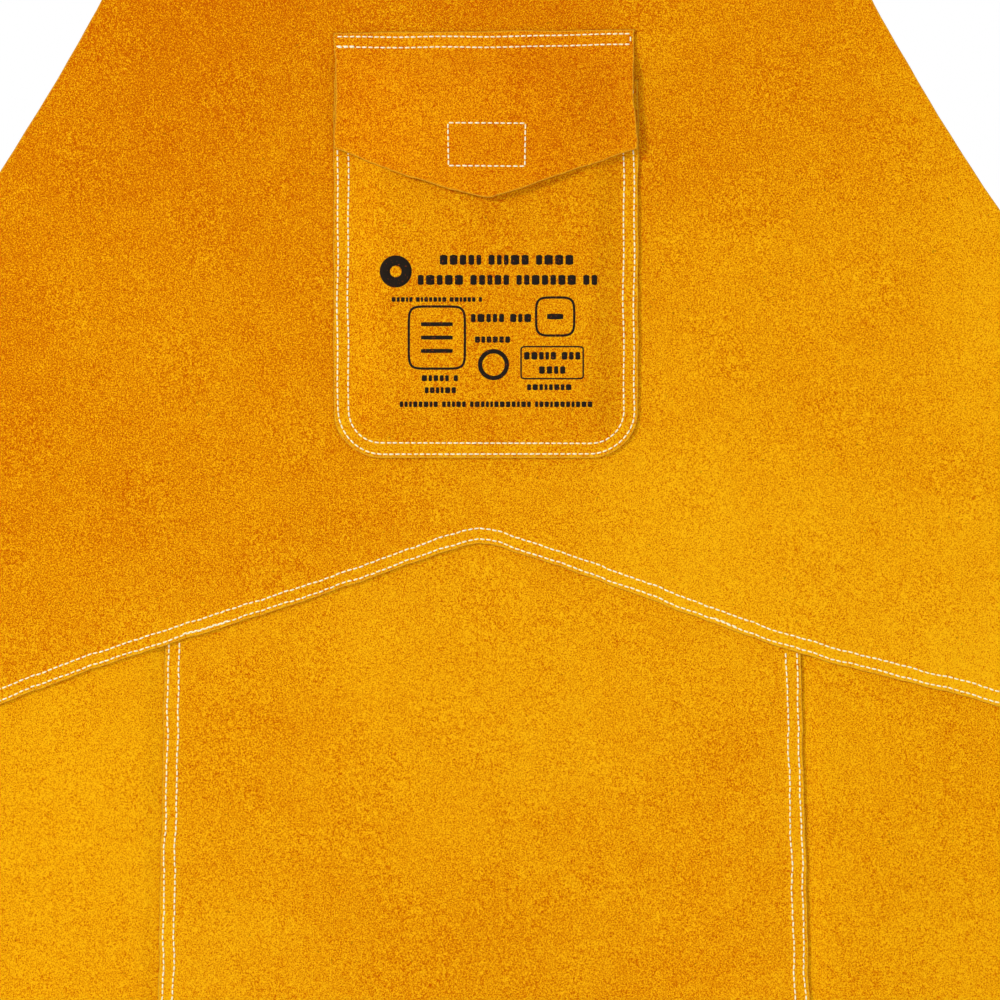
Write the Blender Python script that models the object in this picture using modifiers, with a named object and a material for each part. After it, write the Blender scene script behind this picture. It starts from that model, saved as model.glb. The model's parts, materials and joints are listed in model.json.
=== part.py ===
"""Welding apron of split suede leather, hanging by its neck strap from a hook.

Metres, +Z up. The origin is where the neck strap bears on the hook, the apron's
front faces -Y and the viewer's right is +X. The plane y = 0 runs through the
middle of the neck and waist rings, and the leather panels lie in layers just
in front of it and behind it.
"""

import math

import bmesh
import bpy
from mathutils import Matrix, Vector

# Fits
GAP = 0.0003  # between pieces that touch
HOLE_PLAY = 0.0003  # round a rivet's shank
FOLD_PLAY = 0.0004  # between a wire and the leather folded round it

# Leather
LEATHER = 0.0014
STRAP_LEATHER = 0.0018
STRAP_WIDTH = 0.020
LAP = 0.012  # width of a sewn lap between two panels

# Outline of the apron
HOOK_RADIUS = 0.010
BIB_TOP = -0.325
BIB_TOP_HALF = 0.160
HALF_WIDTH = 0.325
ARMHOLE_HEIGHT = 0.310
ARMHOLE_LEAD = 0.36  # how fast the armhole widens at its top, in metres a metre
HEM = -1.425
HEM_CORNER = 0.020
BIB_CORNER = 0.008

# The seam across the skirt's top, a wide V with a rounded point
SEAM_POINT = -0.811
SEAM_SLOPE = 0.34
SEAM_ROUND = 0.008
CENTRE_TOP_HALF = 0.191
CENTRE_HEM_HALF = 0.203

# Backing pieces behind the bib
FACING_DEPTH = 0.040
FACING_INSET = 0.0015
PATCH_WIDTH = 0.040
PATCH_HEIGHT = 0.042

# Pocket
POCKET_TOP = -0.532
POCKET_BOTTOM = -0.7588
POCKET_HALF = 0.0914
POCKET_CORNER = 0.029
POCKET_RIM = 0.010  # sewn rim round its sides and bottom
POCKET_DEPTH = 0.0054  # clear depth between the bib and the pouch's front
FLAP_TOP = -0.5025
FLAP_HEADING = 0.010
FLAP_HALF = 0.0905
FLAP_SIDE = 0.0595  # from the fold down to the flap's side corners
FLAP_POINT = 0.0902  # from the fold down to its point
FLAP_RISE = 0.017  # height in which the flap bends out over the pouch
TAPE_LENGTH = 0.050
TAPE_HEIGHT = 0.030
TAPE_THICK = 0.0010
TAPE_Z = -0.5716

# Rings
RING_WIRE = 0.002
RING_RADIUS = STRAP_WIDTH - 0.001
NECK_RING_X = 0.120
NECK_BAR_RISE = 0.015  # the neck ring's straight bar above the bib's top
NECK_RING_CORNER = 0.005
WAIST_Z = -0.668
WAIST_RING_CLEAR = 0.0005  # from the apron's side edge to the ring's wire

# Tabs that hold the rings, and the rivets
NECK_TAB_DROP = 0.035  # below the bib's top
WAIST_TAB_LAP = 0.0165  # onto the apron from its side edge
RIVET_SHANK = 0.0016
RIVET_HEAD = 0.004
RIVET_DOME = 0.0010
NECK_RIVETS = (0.012, 0.026)  # below the bib's top
WAIST_RIVET_IN = 0.0085  # from the apron's side edge
WAIST_RIVET_APART = 0.0110

# Straps, measured from the ring's centre along the strap
FOLD_SETTLED = RING_RADIUS + 0.011  # where a fold round a ring lies flat
FOLD_END = FOLD_SETTLED + 0.015
FOLD_RIVET = FOLD_SETTLED + 0.004
NECK_HEEL = 0.128  # the neck buckle's heel bar
WAIST_HEEL = 0.220
WAIST_STRAP_LENGTH = 0.600
HOLE_RADIUS = 0.0020
HOLE_PITCH = 0.020
WAIST_HOLES = 6
WAIST_HOLE_FROM_TIP = 0.040
NECK_FREE_HOLES = 3
NECK_TAIL = 0.075  # past the heel bar
TWIST_FROM = 0.205
TWIST_TO = 0.300

# Buckles and keepers
BUCKLE_WIRE = 0.0016
BUCKLE_INNER_WIDTH = STRAP_WIDTH + 0.0015
BUCKLE_LENGTH = 0.020  # heel bar to front bar
BUCKLE_CORNER = 0.003
ROLLER_RADIUS = 0.0026
ROLLER_BORE = 0.0019
ROLLER_LENGTH = BUCKLE_INNER_WIDTH - 0.0035
PRONG_WIRE = 0.0012
PRONG_PAST_ROLLER = 0.004
SLOT_PLAY = 0.0005
SLOT_BACK = 0.011  # from the heel bar back along both legs
HEEL_SETTLED = 0.012
HEEL_RIVET = 0.016
HEEL_FOLD_END = 0.050
KEEPER_BACK = 0.040  # its middle, from the heel bar
KEEPER_LENGTH = 0.012
KEEPER_LEATHER = 0.0014
TAIL_CLEAR_FROM = 0.021  # the tail stays clear of the rivet head to here
TAIL_SETTLED = 0.029

# Worked out from the sizes above
BACKED = LEATHER + GAP / 2  # half of the bib with its backing
TAB_LEG = BACKED + GAP + STRAP_LEATHER / 2
STRAP_LEG = (STRAP_LEATHER + GAP) / 2
RING_LEG = RING_WIRE + FOLD_PLAY + STRAP_LEATHER / 2
RING_NOSE = math.sqrt(RING_RADIUS**2 - (STRAP_WIDTH / 2) ** 2)
HEEL_LEG = BUCKLE_WIRE + FOLD_PLAY + STRAP_LEATHER / 2
PRONG_TURN = BUCKLE_WIRE + GAP + PRONG_WIRE
PRONG_TIP = ROLLER_RADIUS + GAP + PRONG_WIRE
BEHIND_ROLLER = ROLLER_RADIUS + GAP + STRAP_LEATHER / 2
OVER_HEEL = PRONG_TURN + PRONG_WIRE + GAP + STRAP_LEATHER / 2
TAIL_LEG = STRAP_LEG + STRAP_LEATHER + GAP
NECK_BAR_Z = BIB_TOP + NECK_BAR_RISE
NECK_RING_Z = NECK_BAR_Z + NECK_RING_CORNER
WAIST_RING_X = HALF_WIDTH + WAIST_RING_CLEAR + RING_WIRE + RING_RADIUS
RIVET_HOLE = RIVET_SHANK + HOLE_PLAY
ARMHOLE_BEND = (HALF_WIDTH - BIB_TOP_HALF - ARMHOLE_LEAD * ARMHOLE_HEIGHT) / ARMHOLE_HEIGHT**2

# Colour (sRGB), roughness and metallic value of each material
MATERIALS = {
    "suede": ((0.87, 0.56, 0.03), 0.95, 0.0),
    "suede_side": ((0.92, 0.64, 0.04), 0.95, 0.0),
    "strap_suede": ((0.85, 0.54, 0.04), 0.90, 0.0),
    "nickel_steel": ((0.76, 0.75, 0.72), 0.28, 1.0),
    "tape": ((0.16, 0.13, 0.09), 1.0, 0.0),
}


# Scene


def clear_scene():
    for obj in list(bpy.data.objects):
        bpy.data.objects.remove(obj, do_unlink=True)


def new_collection(name):
    collection = bpy.data.collections.new(name)
    bpy.context.scene.collection.children.link(collection)
    return collection


def linear(value):
    """A linear colour value from an sRGB one."""
    return value / 12.92 if value <= 0.04045 else ((value + 0.055) / 1.055) ** 2.4


def material(name):
    """The node's own material, from the table of colours."""
    colour, roughness, metallic = MATERIALS[name]
    made = bpy.data.materials.new(name)
    made.use_nodes = True
    shader = made.node_tree.nodes["Principled BSDF"]
    shader.inputs["Base Color"].default_value = (*(linear(c) for c in colour), 1)
    shader.inputs["Roughness"].default_value = roughness
    shader.inputs["Metallic"].default_value = metallic
    return made


def add_object(name, data, parent=None, kind=None, smooth=False):
    """Links a new object: a part if kind names its material, else a cutter."""
    obj = bpy.data.objects.new(name, data)
    obj.parent = parent
    if kind:
        PARTS.objects.link(obj)
        data.materials.append(material(kind))
    else:
        CUTTERS.objects.link(obj)
        obj.hide_render = True
        obj.display_type = "WIRE"
    if smooth:
        data.shade_smooth()
        data.set_sharp_from_angle(angle=math.radians(40))
    return obj


def empty(name, place, along=(1, 0, 0), front=(0, 0, 1)):
    """A strap's own space: +X along it, +Z out of its front face."""
    x, z = Vector(along).normalized(), Vector(front)
    frame = Matrix((x, z.cross(x), z)).transposed().to_4x4()
    frame.translation = place
    made = bpy.data.objects.new(name, None)
    made.matrix_world = frame
    PARTS.objects.link(made)
    return made


def as_mesh(curve, kind=None):
    """Replaces a curve object with its mesh, with the caps welded."""
    bpy.context.view_layer.update()
    graph = bpy.context.evaluated_depsgraph_get()
    mesh = bpy.data.meshes.new_from_object(curve.evaluated_get(graph))
    name, place, parent = curve.name, curve.matrix_basis.copy(), curve.parent
    bpy.data.objects.remove(curve, do_unlink=True)
    shape = bmesh.new()
    shape.from_mesh(mesh)
    bmesh.ops.remove_doubles(shape, verts=shape.verts, dist=1e-6)
    bmesh.ops.recalc_face_normals(shape, faces=shape.faces)
    shape.to_mesh(mesh)
    shape.free()
    mesh.materials.clear()
    made = add_object(name, mesh, parent, kind)
    made.matrix_basis = place
    return made


def boolean(obj, cutter, operation="DIFFERENCE"):
    step = obj.modifiers.new(operation.lower(), "BOOLEAN")
    step.operation = operation
    step.solver = "EXACT"
    step.object = cutter


# Shapes


def layer(number):
    """The y of a leather layer's middle: -1.5, -0.5, 0.5 or 1.5 layers."""
    return number * (LEATHER + GAP)


def arc(x, z, radius, start, end, steps):
    """Points of an arc, its angles in degrees."""
    angles = [math.radians(start + (end - start) * k / steps) for k in range(steps + 1)]
    return [(x + radius * math.cos(a), z + radius * math.sin(a)) for a in angles]


def ease(a, b, steps):
    """Points of an S from a to b, level at both ends."""
    found = []
    for k in range(steps + 1):
        t = k / steps
        rise = t * t * (3 - 2 * t)
        found.append((a[0] + (b[0] - a[0]) * t, a[1] + (b[1] - a[1]) * rise))
    return found


def plate(name, outline, y, thickness, kind=None):
    """A flat piece in the XZ plane, its middle at y."""
    curve = bpy.data.curves.new(name, "CURVE")
    curve.dimensions = "2D"
    curve.fill_mode = "BOTH"
    curve.extrude = thickness / 2
    spline = curve.splines.new("POLY")
    spline.points.add(len(outline) - 1)
    for point, (x, z) in zip(spline.points, outline):
        point.co = (x, z, 0, 1)
    spline.use_cyclic_u = True
    obj = add_object(name, curve)
    obj.location = (0, y, 0)
    obj.rotation_euler = (math.pi / 2, 0, 0)
    return as_mesh(obj, kind)


def box(name, low, high, parent=None, kind=None):
    shape = bmesh.new()
    bmesh.ops.create_cube(shape, size=1)
    centre = (Vector(low) + Vector(high)) / 2
    size = Vector(high) - Vector(low)
    bmesh.ops.transform(shape, verts=shape.verts, matrix=Matrix.Diagonal((*size, 1)))
    mesh = bpy.data.meshes.new(name)
    shape.to_mesh(mesh)
    shape.free()
    obj = add_object(name, mesh, parent, kind)
    obj.location = centre
    return obj


def pins(name, places, radius, length, parent=None):
    """Cutters for round holes: one object of short rods along its own Z."""
    shape = bmesh.new()
    for place in places:
        bmesh.ops.create_cone(
            shape,
            cap_ends=True,
            segments=12,
            radius1=radius,
            radius2=radius,
            depth=length,
            matrix=Matrix.Translation(place),
        )
    mesh = bpy.data.meshes.new(name)
    shape.to_mesh(mesh)
    shape.free()
    return add_object(name, mesh, parent)


def wire(name, points, radius, closed=False, parent=None, kind=None):
    """A round wire along a list of points."""
    curve = bpy.data.curves.new(name, "CURVE")
    curve.dimensions = "3D"
    curve.bevel_depth = radius
    curve.bevel_resolution = 2
    curve.use_fill_caps = not closed
    spline = curve.splines.new("POLY")
    spline.points.add(len(points) - 1)
    for point, place in zip(spline.points, points):
        point.co = (*place, 1)
    spline.use_cyclic_u = closed
    for point in spline.points:
        point.radius = 1
    obj = add_object(name, curve, parent, kind)
    spline.use_smooth = True
    return obj


def turned(name, profile, steps, parent=None, kind=None):
    """A solid turned round its own Z from a profile of (radius, height)."""
    shape = bmesh.new()
    points = [shape.verts.new((r, 0, z)) for r, z in profile]
    for a, b in zip(points, points[1:]):
        shape.edges.new((a, b))
    if profile[0][0] > 0:
        shape.edges.new((points[-1], points[0]))
    mesh = bpy.data.meshes.new(name)
    shape.to_mesh(mesh)
    shape.free()
    obj = add_object(name, mesh, parent, kind)
    turn = obj.modifiers.new("turn", "SCREW")
    turn.steps = steps
    turn.render_steps = steps
    turn.use_merge_vertices = True
    turn.merge_threshold = 1e-5
    turn.use_smooth_shade = True
    return obj


def ribbon(name, stations, thickness, parent=None, kind=None):
    """A strap along its stations of (centre, direction across, half width)."""
    count = len(stations)
    shape = bmesh.new()
    bmesh.ops.create_grid(shape, x_segments=count - 1, y_segments=1, size=1)
    for vert in shape.verts:
        centre, across, half = stations[round((vert.co.x + 1) / 2 * (count - 1))]
        vert.co = Vector(centre) + Vector(across) * half * vert.co.y
    mesh = bpy.data.meshes.new(name)
    shape.to_mesh(mesh)
    shape.free()
    obj = add_object(name, mesh, parent, kind)
    solid = obj.modifiers.new("thickness", "SOLIDIFY")
    solid.thickness = thickness
    solid.offset = 0
    solid.use_even_offset = True
    return obj


def flat_stations(side_view, half=STRAP_WIDTH / 2):
    """Stations of a strap that keeps its own space, from (along, front) points."""
    return [((s, 0, z), (0, 1, 0), half) for s, z in side_view]


def round_tip(end, half):
    """(along, half width) points that round off a strap's end."""
    angles = [math.radians(15 * k) for k in range(6)]
    return [(end - half * (1 - math.sin(a)), half * math.cos(a)) for a in angles]


def fold(nose, spread, leg, settled, front_end):
    """Side view of leather folded round a wire at low s, from the front leg's end
    round the wire to where the back leg has settled."""
    return (
        [(front_end, leg)]
        + ease((settled, leg), (nose, spread), 5)[:-1]
        + arc(nose, 0, spread, 90, 270, 8)
        + ease((nose, -spread), (settled, -leg), 5)[1:]
    )


def ring_fold():
    """The end of a strap that is folded round a ring's curved wire."""
    return fold(RING_NOSE, RING_LEG, STRAP_LEG, FOLD_SETTLED, FOLD_END)


def heel_fold(heel):
    """The end of a strap that is folded round a buckle's heel bar."""
    return (
        ease((heel - HEEL_SETTLED, -STRAP_LEG), (heel, -HEEL_LEG), 5)
        + arc(heel, 0, HEEL_LEG, -90, 90, 8)[1:-1]
        + ease((heel, HEEL_LEG), (heel - HEEL_SETTLED, STRAP_LEG), 5)
        + [(heel - HEEL_FOLD_END, STRAP_LEG)]
    )


# Panels


def armhole_half(depth):
    """The bib's half width at a depth below its top."""
    return BIB_TOP_HALF + ARMHOLE_LEAD * depth + ARMHOLE_BEND * depth**2


def seam_z(x):
    """Height of the bib's lower edge, a V with a rounded point."""
    return SEAM_POINT - SEAM_SLOPE * (math.hypot(x, SEAM_ROUND) - SEAM_ROUND)


def centre_half(z):
    """The centre skirt panel's half width, which grows towards the hem."""
    share = (seam_z(CENTRE_TOP_HALF) - z) / (seam_z(CENTRE_TOP_HALF) - HEM)
    return CENTRE_TOP_HALF + (CENTRE_HEM_HALF - CENTRE_TOP_HALF) * share


def mirrored(right_side):
    """A closed outline from its right side, listed from the top down."""
    return right_side + [(-x, z) for x, z in reversed(right_side) if x > 0]


def bib_outline():
    corner = [
        (x, z)
        for x, z in arc(
            BIB_TOP_HALF - BIB_CORNER, BIB_TOP - BIB_CORNER, BIB_CORNER, 90, 25, 4
        )
    ]
    steps = 10
    start = 2 * BIB_CORNER
    depths = [start + (ARMHOLE_HEIGHT - start) * k / steps for k in range(steps + 1)]
    armhole = [(armhole_half(d), BIB_TOP - d) for d in depths]
    widths = [HALF_WIDTH * (1 - k / 8) for k in range(8)]
    near_point = [SEAM_ROUND * 2, SEAM_ROUND, SEAM_ROUND / 2, 0]
    seam = [(x, seam_z(x)) for x in widths + near_point]
    return mirrored(corner + armhole + seam)


def centre_skirt_outline():
    widths = [0, SEAM_ROUND / 2, SEAM_ROUND, 2 * SEAM_ROUND, 0.06, 0.12, CENTRE_TOP_HALF]
    top = [(x, seam_z(x) + LAP) for x in widths]
    return mirrored(top + [(centre_half(HEM), HEM)])


def side_skirt_outline(side):
    """side is -1 for the left panel and 1 for the right one."""
    inner_top = CENTRE_TOP_HALF - LAP
    widths = [inner_top + (HALF_WIDTH - inner_top) * k / 3 for k in range(4)]
    top = [(x, seam_z(x) + LAP) for x in widths]
    corner = arc(HALF_WIDTH - HEM_CORNER, HEM + HEM_CORNER, HEM_CORNER, 0, -90, 5)
    inner = [(centre_half(HEM) - LAP, HEM)]
    return [(side * x, z) for x, z in top + corner + inner]


def facing_outline():
    low = BIB_TOP - FACING_DEPTH
    start = 2 * BIB_CORNER
    right = [
        (BIB_TOP_HALF - 2 * BIB_CORNER, BIB_TOP - FACING_INSET),
        (armhole_half(start) - FACING_INSET, BIB_TOP - start),
        (armhole_half(FACING_DEPTH) - FACING_INSET, low),
    ]
    return mirrored(right)


def make_panels(rivet_holes):
    bib = plate("bib_panel", bib_outline(), layer(-0.5), LEATHER, "suede")
    facing = plate("bib_top_facing", facing_outline(), layer(0.5), LEATHER, "suede")
    backed = [bib, facing]
    plate("centre_skirt_panel", centre_skirt_outline(), layer(0.5), LEATHER, "suede")
    outer = HALF_WIDTH - FACING_INSET
    for name, side in (("left", -1), ("right", 1)):
        outline = side_skirt_outline(side)
        plate(f"{name}_skirt_panel", outline, layer(1.5), LEATHER, "suede_side")
        xs = (side * (outer - PATCH_WIDTH), side * outer)
        zs = (WAIST_Z - PATCH_HEIGHT / 2, WAIST_Z + PATCH_HEIGHT / 2)
        square = [(xs[0], zs[0]), (xs[1], zs[0]), (xs[1], zs[1]), (xs[0], zs[1])]
        patch = plate(f"waist_patch_{name}", square, layer(0.5), LEATHER, "suede")
        backed.append(patch)
    for piece in backed:
        boolean(piece, rivet_holes)


# Pocket


def pouch_outline(inset, above):
    """The pouch's U, inset all round and carried above its mouth."""
    half, low = POCKET_HALF - inset, POCKET_BOTTOM + inset
    radius = POCKET_CORNER - inset
    corner = arc(half - radius, low + radius, radius, 0, -90, 6)
    return mirrored([(half, POCKET_TOP + above)] + corner)


def make_pouch():
    """A rim sewn flat on the bib, with a front that stands out from it."""
    rim_y = layer(-1.5)
    bib_front = layer(-0.5) - LEATHER / 2
    inner_y = bib_front - POCKET_DEPTH
    front_y = inner_y - LEATHER
    above = 0.004
    pouch = plate("pocket_pouch", pouch_outline(0, above), rim_y, LEATHER, "suede")
    raised = plate(
        "pouch_raised_cutter",
        pouch_outline(POCKET_RIM, above + 0.002),
        (front_y + rim_y) / 2,
        rim_y - front_y,
    )
    hollow = plate(
        "pouch_hollow_cutter",
        pouch_outline(POCKET_RIM + LEATHER, above + 0.004),
        inner_y / 2,
        -inner_y,
    )
    mouth = box(
        "pouch_mouth_cutter",
        (-POCKET_HALF - LAP, front_y - LAP, POCKET_TOP),
        (POCKET_HALF + LAP, LAP, POCKET_TOP + LAP),
    )
    boolean(pouch, raised, "UNION")
    boolean(pouch, hollow)
    boolean(pouch, mouth)
    return front_y


def flap_edge(x):
    """How far below the fold the flap's pointed lower edge is."""
    return FLAP_POINT - (FLAP_POINT - FLAP_SIDE) * abs(x) / FLAP_HALF


def make_flap(fold_y, fold_z, flap_y):
    """The free part of the flap: out over the pouch's mouth, then down its front."""
    rows, bend_rows, columns = 12, 8, 12
    hinge = bpy.data.objects.new("flap_hinge", None)
    PARTS.objects.link(hinge)
    hinge.location = (0, fold_y, fold_z)
    shape = bmesh.new()
    bmesh.ops.create_grid(shape, x_segments=columns, y_segments=rows, size=1)
    for vert in shape.verts:
        x = vert.co.x * FLAP_HALF
        row = round((1 - vert.co.y) / 2 * rows)
        if row <= bend_rows:
            depth = FLAP_RISE * row / bend_rows
        else:
            share = (row - bend_rows) / (rows - bend_rows)
            depth = FLAP_RISE + (flap_edge(x) - FLAP_RISE) * share
        t = min(depth / FLAP_RISE, 1)
        vert.co = (x, (flap_y - fold_y) * t * t * (3 - 2 * t), -depth)
    mesh = bpy.data.meshes.new("pocket_flap")
    shape.to_mesh(mesh)
    shape.free()
    flap = add_object("pocket_flap", mesh, hinge, "suede")
    solid = flap.modifiers.new("thickness", "SOLIDIFY")
    solid.thickness = LEATHER
    solid.offset = 0
    return hinge


def make_pocket():
    front_y = make_pouch()
    half_heading = FLAP_HEADING / 2
    box(
        "flap_heading",
        (-FLAP_HALF, layer(-1.5) - LEATHER / 2, FLAP_TOP - 2 * half_heading),
        (FLAP_HALF, layer(-1.5) + LEATHER / 2, FLAP_TOP),
        kind="suede",
    )
    loop_back = front_y - GAP
    hook_back = loop_back - TAPE_THICK - GAP
    flap_y = hook_back - TAPE_THICK - GAP - LEATHER / 2
    fold_y = layer(-1.5) - LEATHER - GAP
    fold_z = FLAP_TOP - FLAP_HEADING - 2 * GAP - LEATHER / 2 * 0.7
    hinge = make_flap(fold_y, fold_z, flap_y)
    half, low, high = TAPE_LENGTH / 2, TAPE_Z - TAPE_HEIGHT / 2, TAPE_Z + TAPE_HEIGHT / 2
    loop_low = (-half, loop_back - TAPE_THICK, low)
    box("pocket_loop_patch", loop_low, (half, loop_back, high), kind="tape")
    hook_low = (-half, hook_back - TAPE_THICK - fold_y, low - fold_z)
    hook_high = (half, hook_back - fold_y, high - fold_z)
    box("flap_hook_patch", hook_low, hook_high, hinge, "tape")


# Rivets and tabs


def rivet(name, parent, place, grip):
    """A shank with a domed head at each end; grip is half the leather it holds."""
    under = grip + GAP
    profile = [
        (0, under + RIVET_DOME),
        (RIVET_HEAD * 0.65, under + RIVET_DOME * 0.8),
        (RIVET_HEAD, under + RIVET_DOME * 0.25),
        (RIVET_HEAD, under),
        (RIVET_SHANK, under),
    ]
    profile += [(r, -z) for r, z in reversed(profile)]
    made = turned(name, profile, 12, parent, "nickel_steel")
    made.location = place
    return made


def tab(name, space, side_view, rivet_places, holes):
    made = ribbon(name, flat_stations(side_view), STRAP_LEATHER, space, "strap_suede")
    boolean(made, holes)
    grip = TAB_LEG + STRAP_LEATHER / 2
    for number, place in enumerate(rivet_places, 1):
        rivet(f"{name}_rivet_{number}", space, (*place, 0), grip)


def tab_rivet_places():
    """World places of all the tab rivets, for their holes in the leather."""
    places = []
    for side in (-1, 1):
        for drop in NECK_RIVETS:
            places.append((side * NECK_RING_X, BIB_TOP - drop))
        for up in (-1, 1):
            x = side * (HALF_WIDTH - WAIST_RIVET_IN)
            places.append((x, WAIST_Z + up * WAIST_RIVET_APART / 2))
    return places


def make_tabs(holes):
    front = (0, -1, 0)
    for name, side in (("left", -1), ("right", 1)):
        bar = Vector((side * NECK_RING_X, 0, NECK_BAR_Z))
        space = empty(f"neck_tab_{name}_space", bar, (0, 0, -1), front)
        end = NECK_BAR_RISE + NECK_TAB_DROP
        view = fold(0, RING_LEG, TAB_LEG, NECK_BAR_RISE * 0.7, end) + [(end, -TAB_LEG)]
        places = [(NECK_BAR_RISE + drop, 0) for drop in NECK_RIVETS]
        tab(f"neck_tab_{name}", space, view, places, holes)
        ring = Vector((side * WAIST_RING_X, 0, WAIST_Z))
        space = empty(f"waist_tab_{name}_space", ring, (-side, 0, 0), front)
        edge = WAIST_RING_X - HALF_WIDTH
        end = edge + WAIST_TAB_LAP
        view = fold(RING_NOSE, RING_LEG, TAB_LEG, edge - 2 * GAP, end) + [(end, -TAB_LEG)]
        places = [
            (edge + WAIST_RIVET_IN, up * WAIST_RIVET_APART / 2) for up in (-1, 1)
        ]
        tab(f"waist_tab_{name}", space, view, places, holes)


# Rings


def neck_ring(name, side):
    """A D of wire, its straight bar down in the tab and its bow up."""
    r, c = RING_RADIUS, NECK_RING_CORNER
    outline = arc(0, c, r, 0, 180, 20) + arc(c - r, c, c, 180, 270, 4)
    outline += arc(r - c, c, c, 270, 360, 4)[:-1]
    points = [(x, 0, z) for x, z in outline]
    ring = wire(name, points, RING_WIRE, True, None, "nickel_steel")
    ring.location = (side * NECK_RING_X, 0, NECK_BAR_Z)


def waist_ring(name, side):
    bpy.ops.mesh.primitive_torus_add(
        major_segments=36,
        minor_segments=8,
        major_radius=RING_RADIUS,
        minor_radius=RING_WIRE,
        location=(side * WAIST_RING_X, 0, WAIST_Z),
        rotation=(math.pi / 2, 0, 0),
    )
    ring = bpy.context.object
    for collection in list(ring.users_collection):
        collection.objects.unlink(ring)
    PARTS.objects.link(ring)
    ring.name = name
    ring.data.shade_smooth()
    ring.data.materials.append(material("nickel_steel"))


# Buckles and keepers, in the strap's own space


def prong_path(heel):
    """Side view of the prong: its tip, its shaft and its turn round the heel bar."""
    roller = heel + BUCKLE_LENGTH
    tip = (roller + PRONG_PAST_ROLLER, PRONG_TIP - 0.0002)
    shaft = [tip, (roller, PRONG_TIP)]
    return shaft + arc(heel, 0, PRONG_TURN, 90, 330, 12)


def prong(name, heel, parent, radius, kind=None):
    pivot = empty_in(parent, f"{name}_pivot", heel)
    points = [(s - heel, 0, z) for s, z in prong_path(heel)]
    return wire(name, points, radius, parent=pivot, kind=kind)


def empty_in(parent, name, along):
    made = bpy.data.objects.new(name, None)
    made.parent = parent
    made.location = (along, 0, 0)
    PARTS.objects.link(made)
    return made


def buckle(prefix, heel, parent):
    """Frame, roller and prong; the heel bar is at heel along the strap."""
    half = BUCKLE_INNER_WIDTH / 2 + BUCKLE_WIRE
    c, length = BUCKLE_CORNER, BUCKLE_LENGTH
    outline = (
        arc(c, half - c, c, 180, 90, 4)
        + arc(length - c, half - c, c, 90, 0, 4)
        + arc(length - c, c - half, c, 0, -90, 4)
        + arc(c, c - half, c, -90, -180, 4)
    )
    points = [(heel + s, y, 0) for s, y in outline]
    wire(f"{prefix}_buckle_frame", points, BUCKLE_WIRE, True, parent, "nickel_steel")
    wall = [
        (ROLLER_RADIUS, ROLLER_LENGTH / 2),
        (ROLLER_RADIUS, -ROLLER_LENGTH / 2),
        (ROLLER_BORE, -ROLLER_LENGTH / 2),
        (ROLLER_BORE, ROLLER_LENGTH / 2),
    ]
    roller = turned(f"{prefix}_buckle_roller", wall, 20, parent, "nickel_steel")
    roller.location = (heel + length, 0, 0)
    roller.rotation_euler = (math.pi / 2, 0, 0)
    prong(f"{prefix}_buckle_prong", heel, parent, PRONG_WIRE, "nickel_steel")


def prong_slot(name, heel, parent):
    """The slot in the folded strap that lets the prong turn round the heel bar."""
    half = PRONG_WIRE + SLOT_PLAY
    reach = HEEL_LEG + STRAP_LEATHER
    low = (heel - SLOT_BACK, -half, -reach - GAP)
    return box(name, low, (heel + reach, half, reach + GAP), parent)


def keeper(name, heel, parent):
    """A leather loop round the folded strap and the tail that lies on it."""
    place = empty_in(parent, f"{name}_place", heel - KEEPER_BACK)
    inner_half = STRAP_WIDTH / 2 + GAP
    back = -STRAP_LEG - STRAP_LEATHER / 2 - GAP
    front = TAIL_LEG + STRAP_LEATHER / 2 + GAP
    length, wall = KEEPER_LENGTH / 2, KEEPER_LEATHER
    low = (-length, -inner_half - wall, back - wall)
    high = (length, inner_half + wall, front + wall)
    loop = box(name, low, high, place, "strap_suede")
    low = (-length - LAP, -inner_half, back)
    hollow = box(f"{name}_hollow_cutter", low, (length + LAP, inner_half, front), place)
    boolean(loop, hollow)


def buckled_strap(name, prefix, heel, space):
    """A short strap from a ring to a buckle, folded and riveted at both ends."""
    view = ring_fold() + heel_fold(heel)
    strap = ribbon(name, flat_stations(view), STRAP_LEATHER, space, "strap_suede")
    spots = (FOLD_RIVET, heel - HEEL_RIVET)
    places = [(s, 0, 0) for s in spots]
    boolean(strap, pins(f"{name}_rivet_cutter", places, RIVET_HOLE, 0.02, space))
    boolean(strap, prong_slot(f"{name}_slot_cutter", heel, space))
    grip = STRAP_LEG + STRAP_LEATHER / 2
    rivet(f"{name}_ring_rivet", space, places[0], grip)
    rivet(f"{name}_buckle_rivet", space, places[1], grip)
    buckle(prefix, heel, space)
    keeper(f"{prefix}_keeper", heel, space)


# Waist straps


def make_waist_straps():
    down, front = (0, 0, -1), (0, -1, 0)
    ring = Vector((WAIST_RING_X, 0, WAIST_Z))
    right = empty("waist_strap_right_space", ring, down, front)
    buckled_strap("waist_strap_right", "waist", WAIST_HEEL, right)
    ring = Vector((-WAIST_RING_X, 0, WAIST_Z))
    left = empty("waist_strap_left_space", ring, down, front)
    half = STRAP_WIDTH / 2
    stations = flat_stations(ring_fold())
    for s, width in round_tip(WAIST_STRAP_LENGTH, half):
        stations.append(((s, 0, -STRAP_LEG), (0, 1, 0), width))
    strap = ribbon("waist_strap_left", stations, STRAP_LEATHER, left, "strap_suede")
    first = WAIST_STRAP_LENGTH - WAIST_HOLE_FROM_TIP
    places = [(first - k * HOLE_PITCH, 0, 0) for k in range(WAIST_HOLES)]
    boolean(strap, pins("waist_strap_hole_cutter", places, HOLE_RADIUS, 0.02, left))
    place = (FOLD_RIVET, 0, 0)
    boolean(strap, pins("waist_left_rivet_cutter", [place], RIVET_HOLE, 0.02, left))
    grip = STRAP_LEG + STRAP_LEATHER / 2
    rivet("waist_strap_left_ring_rivet", left, place, grip)


# Neck strap


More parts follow.
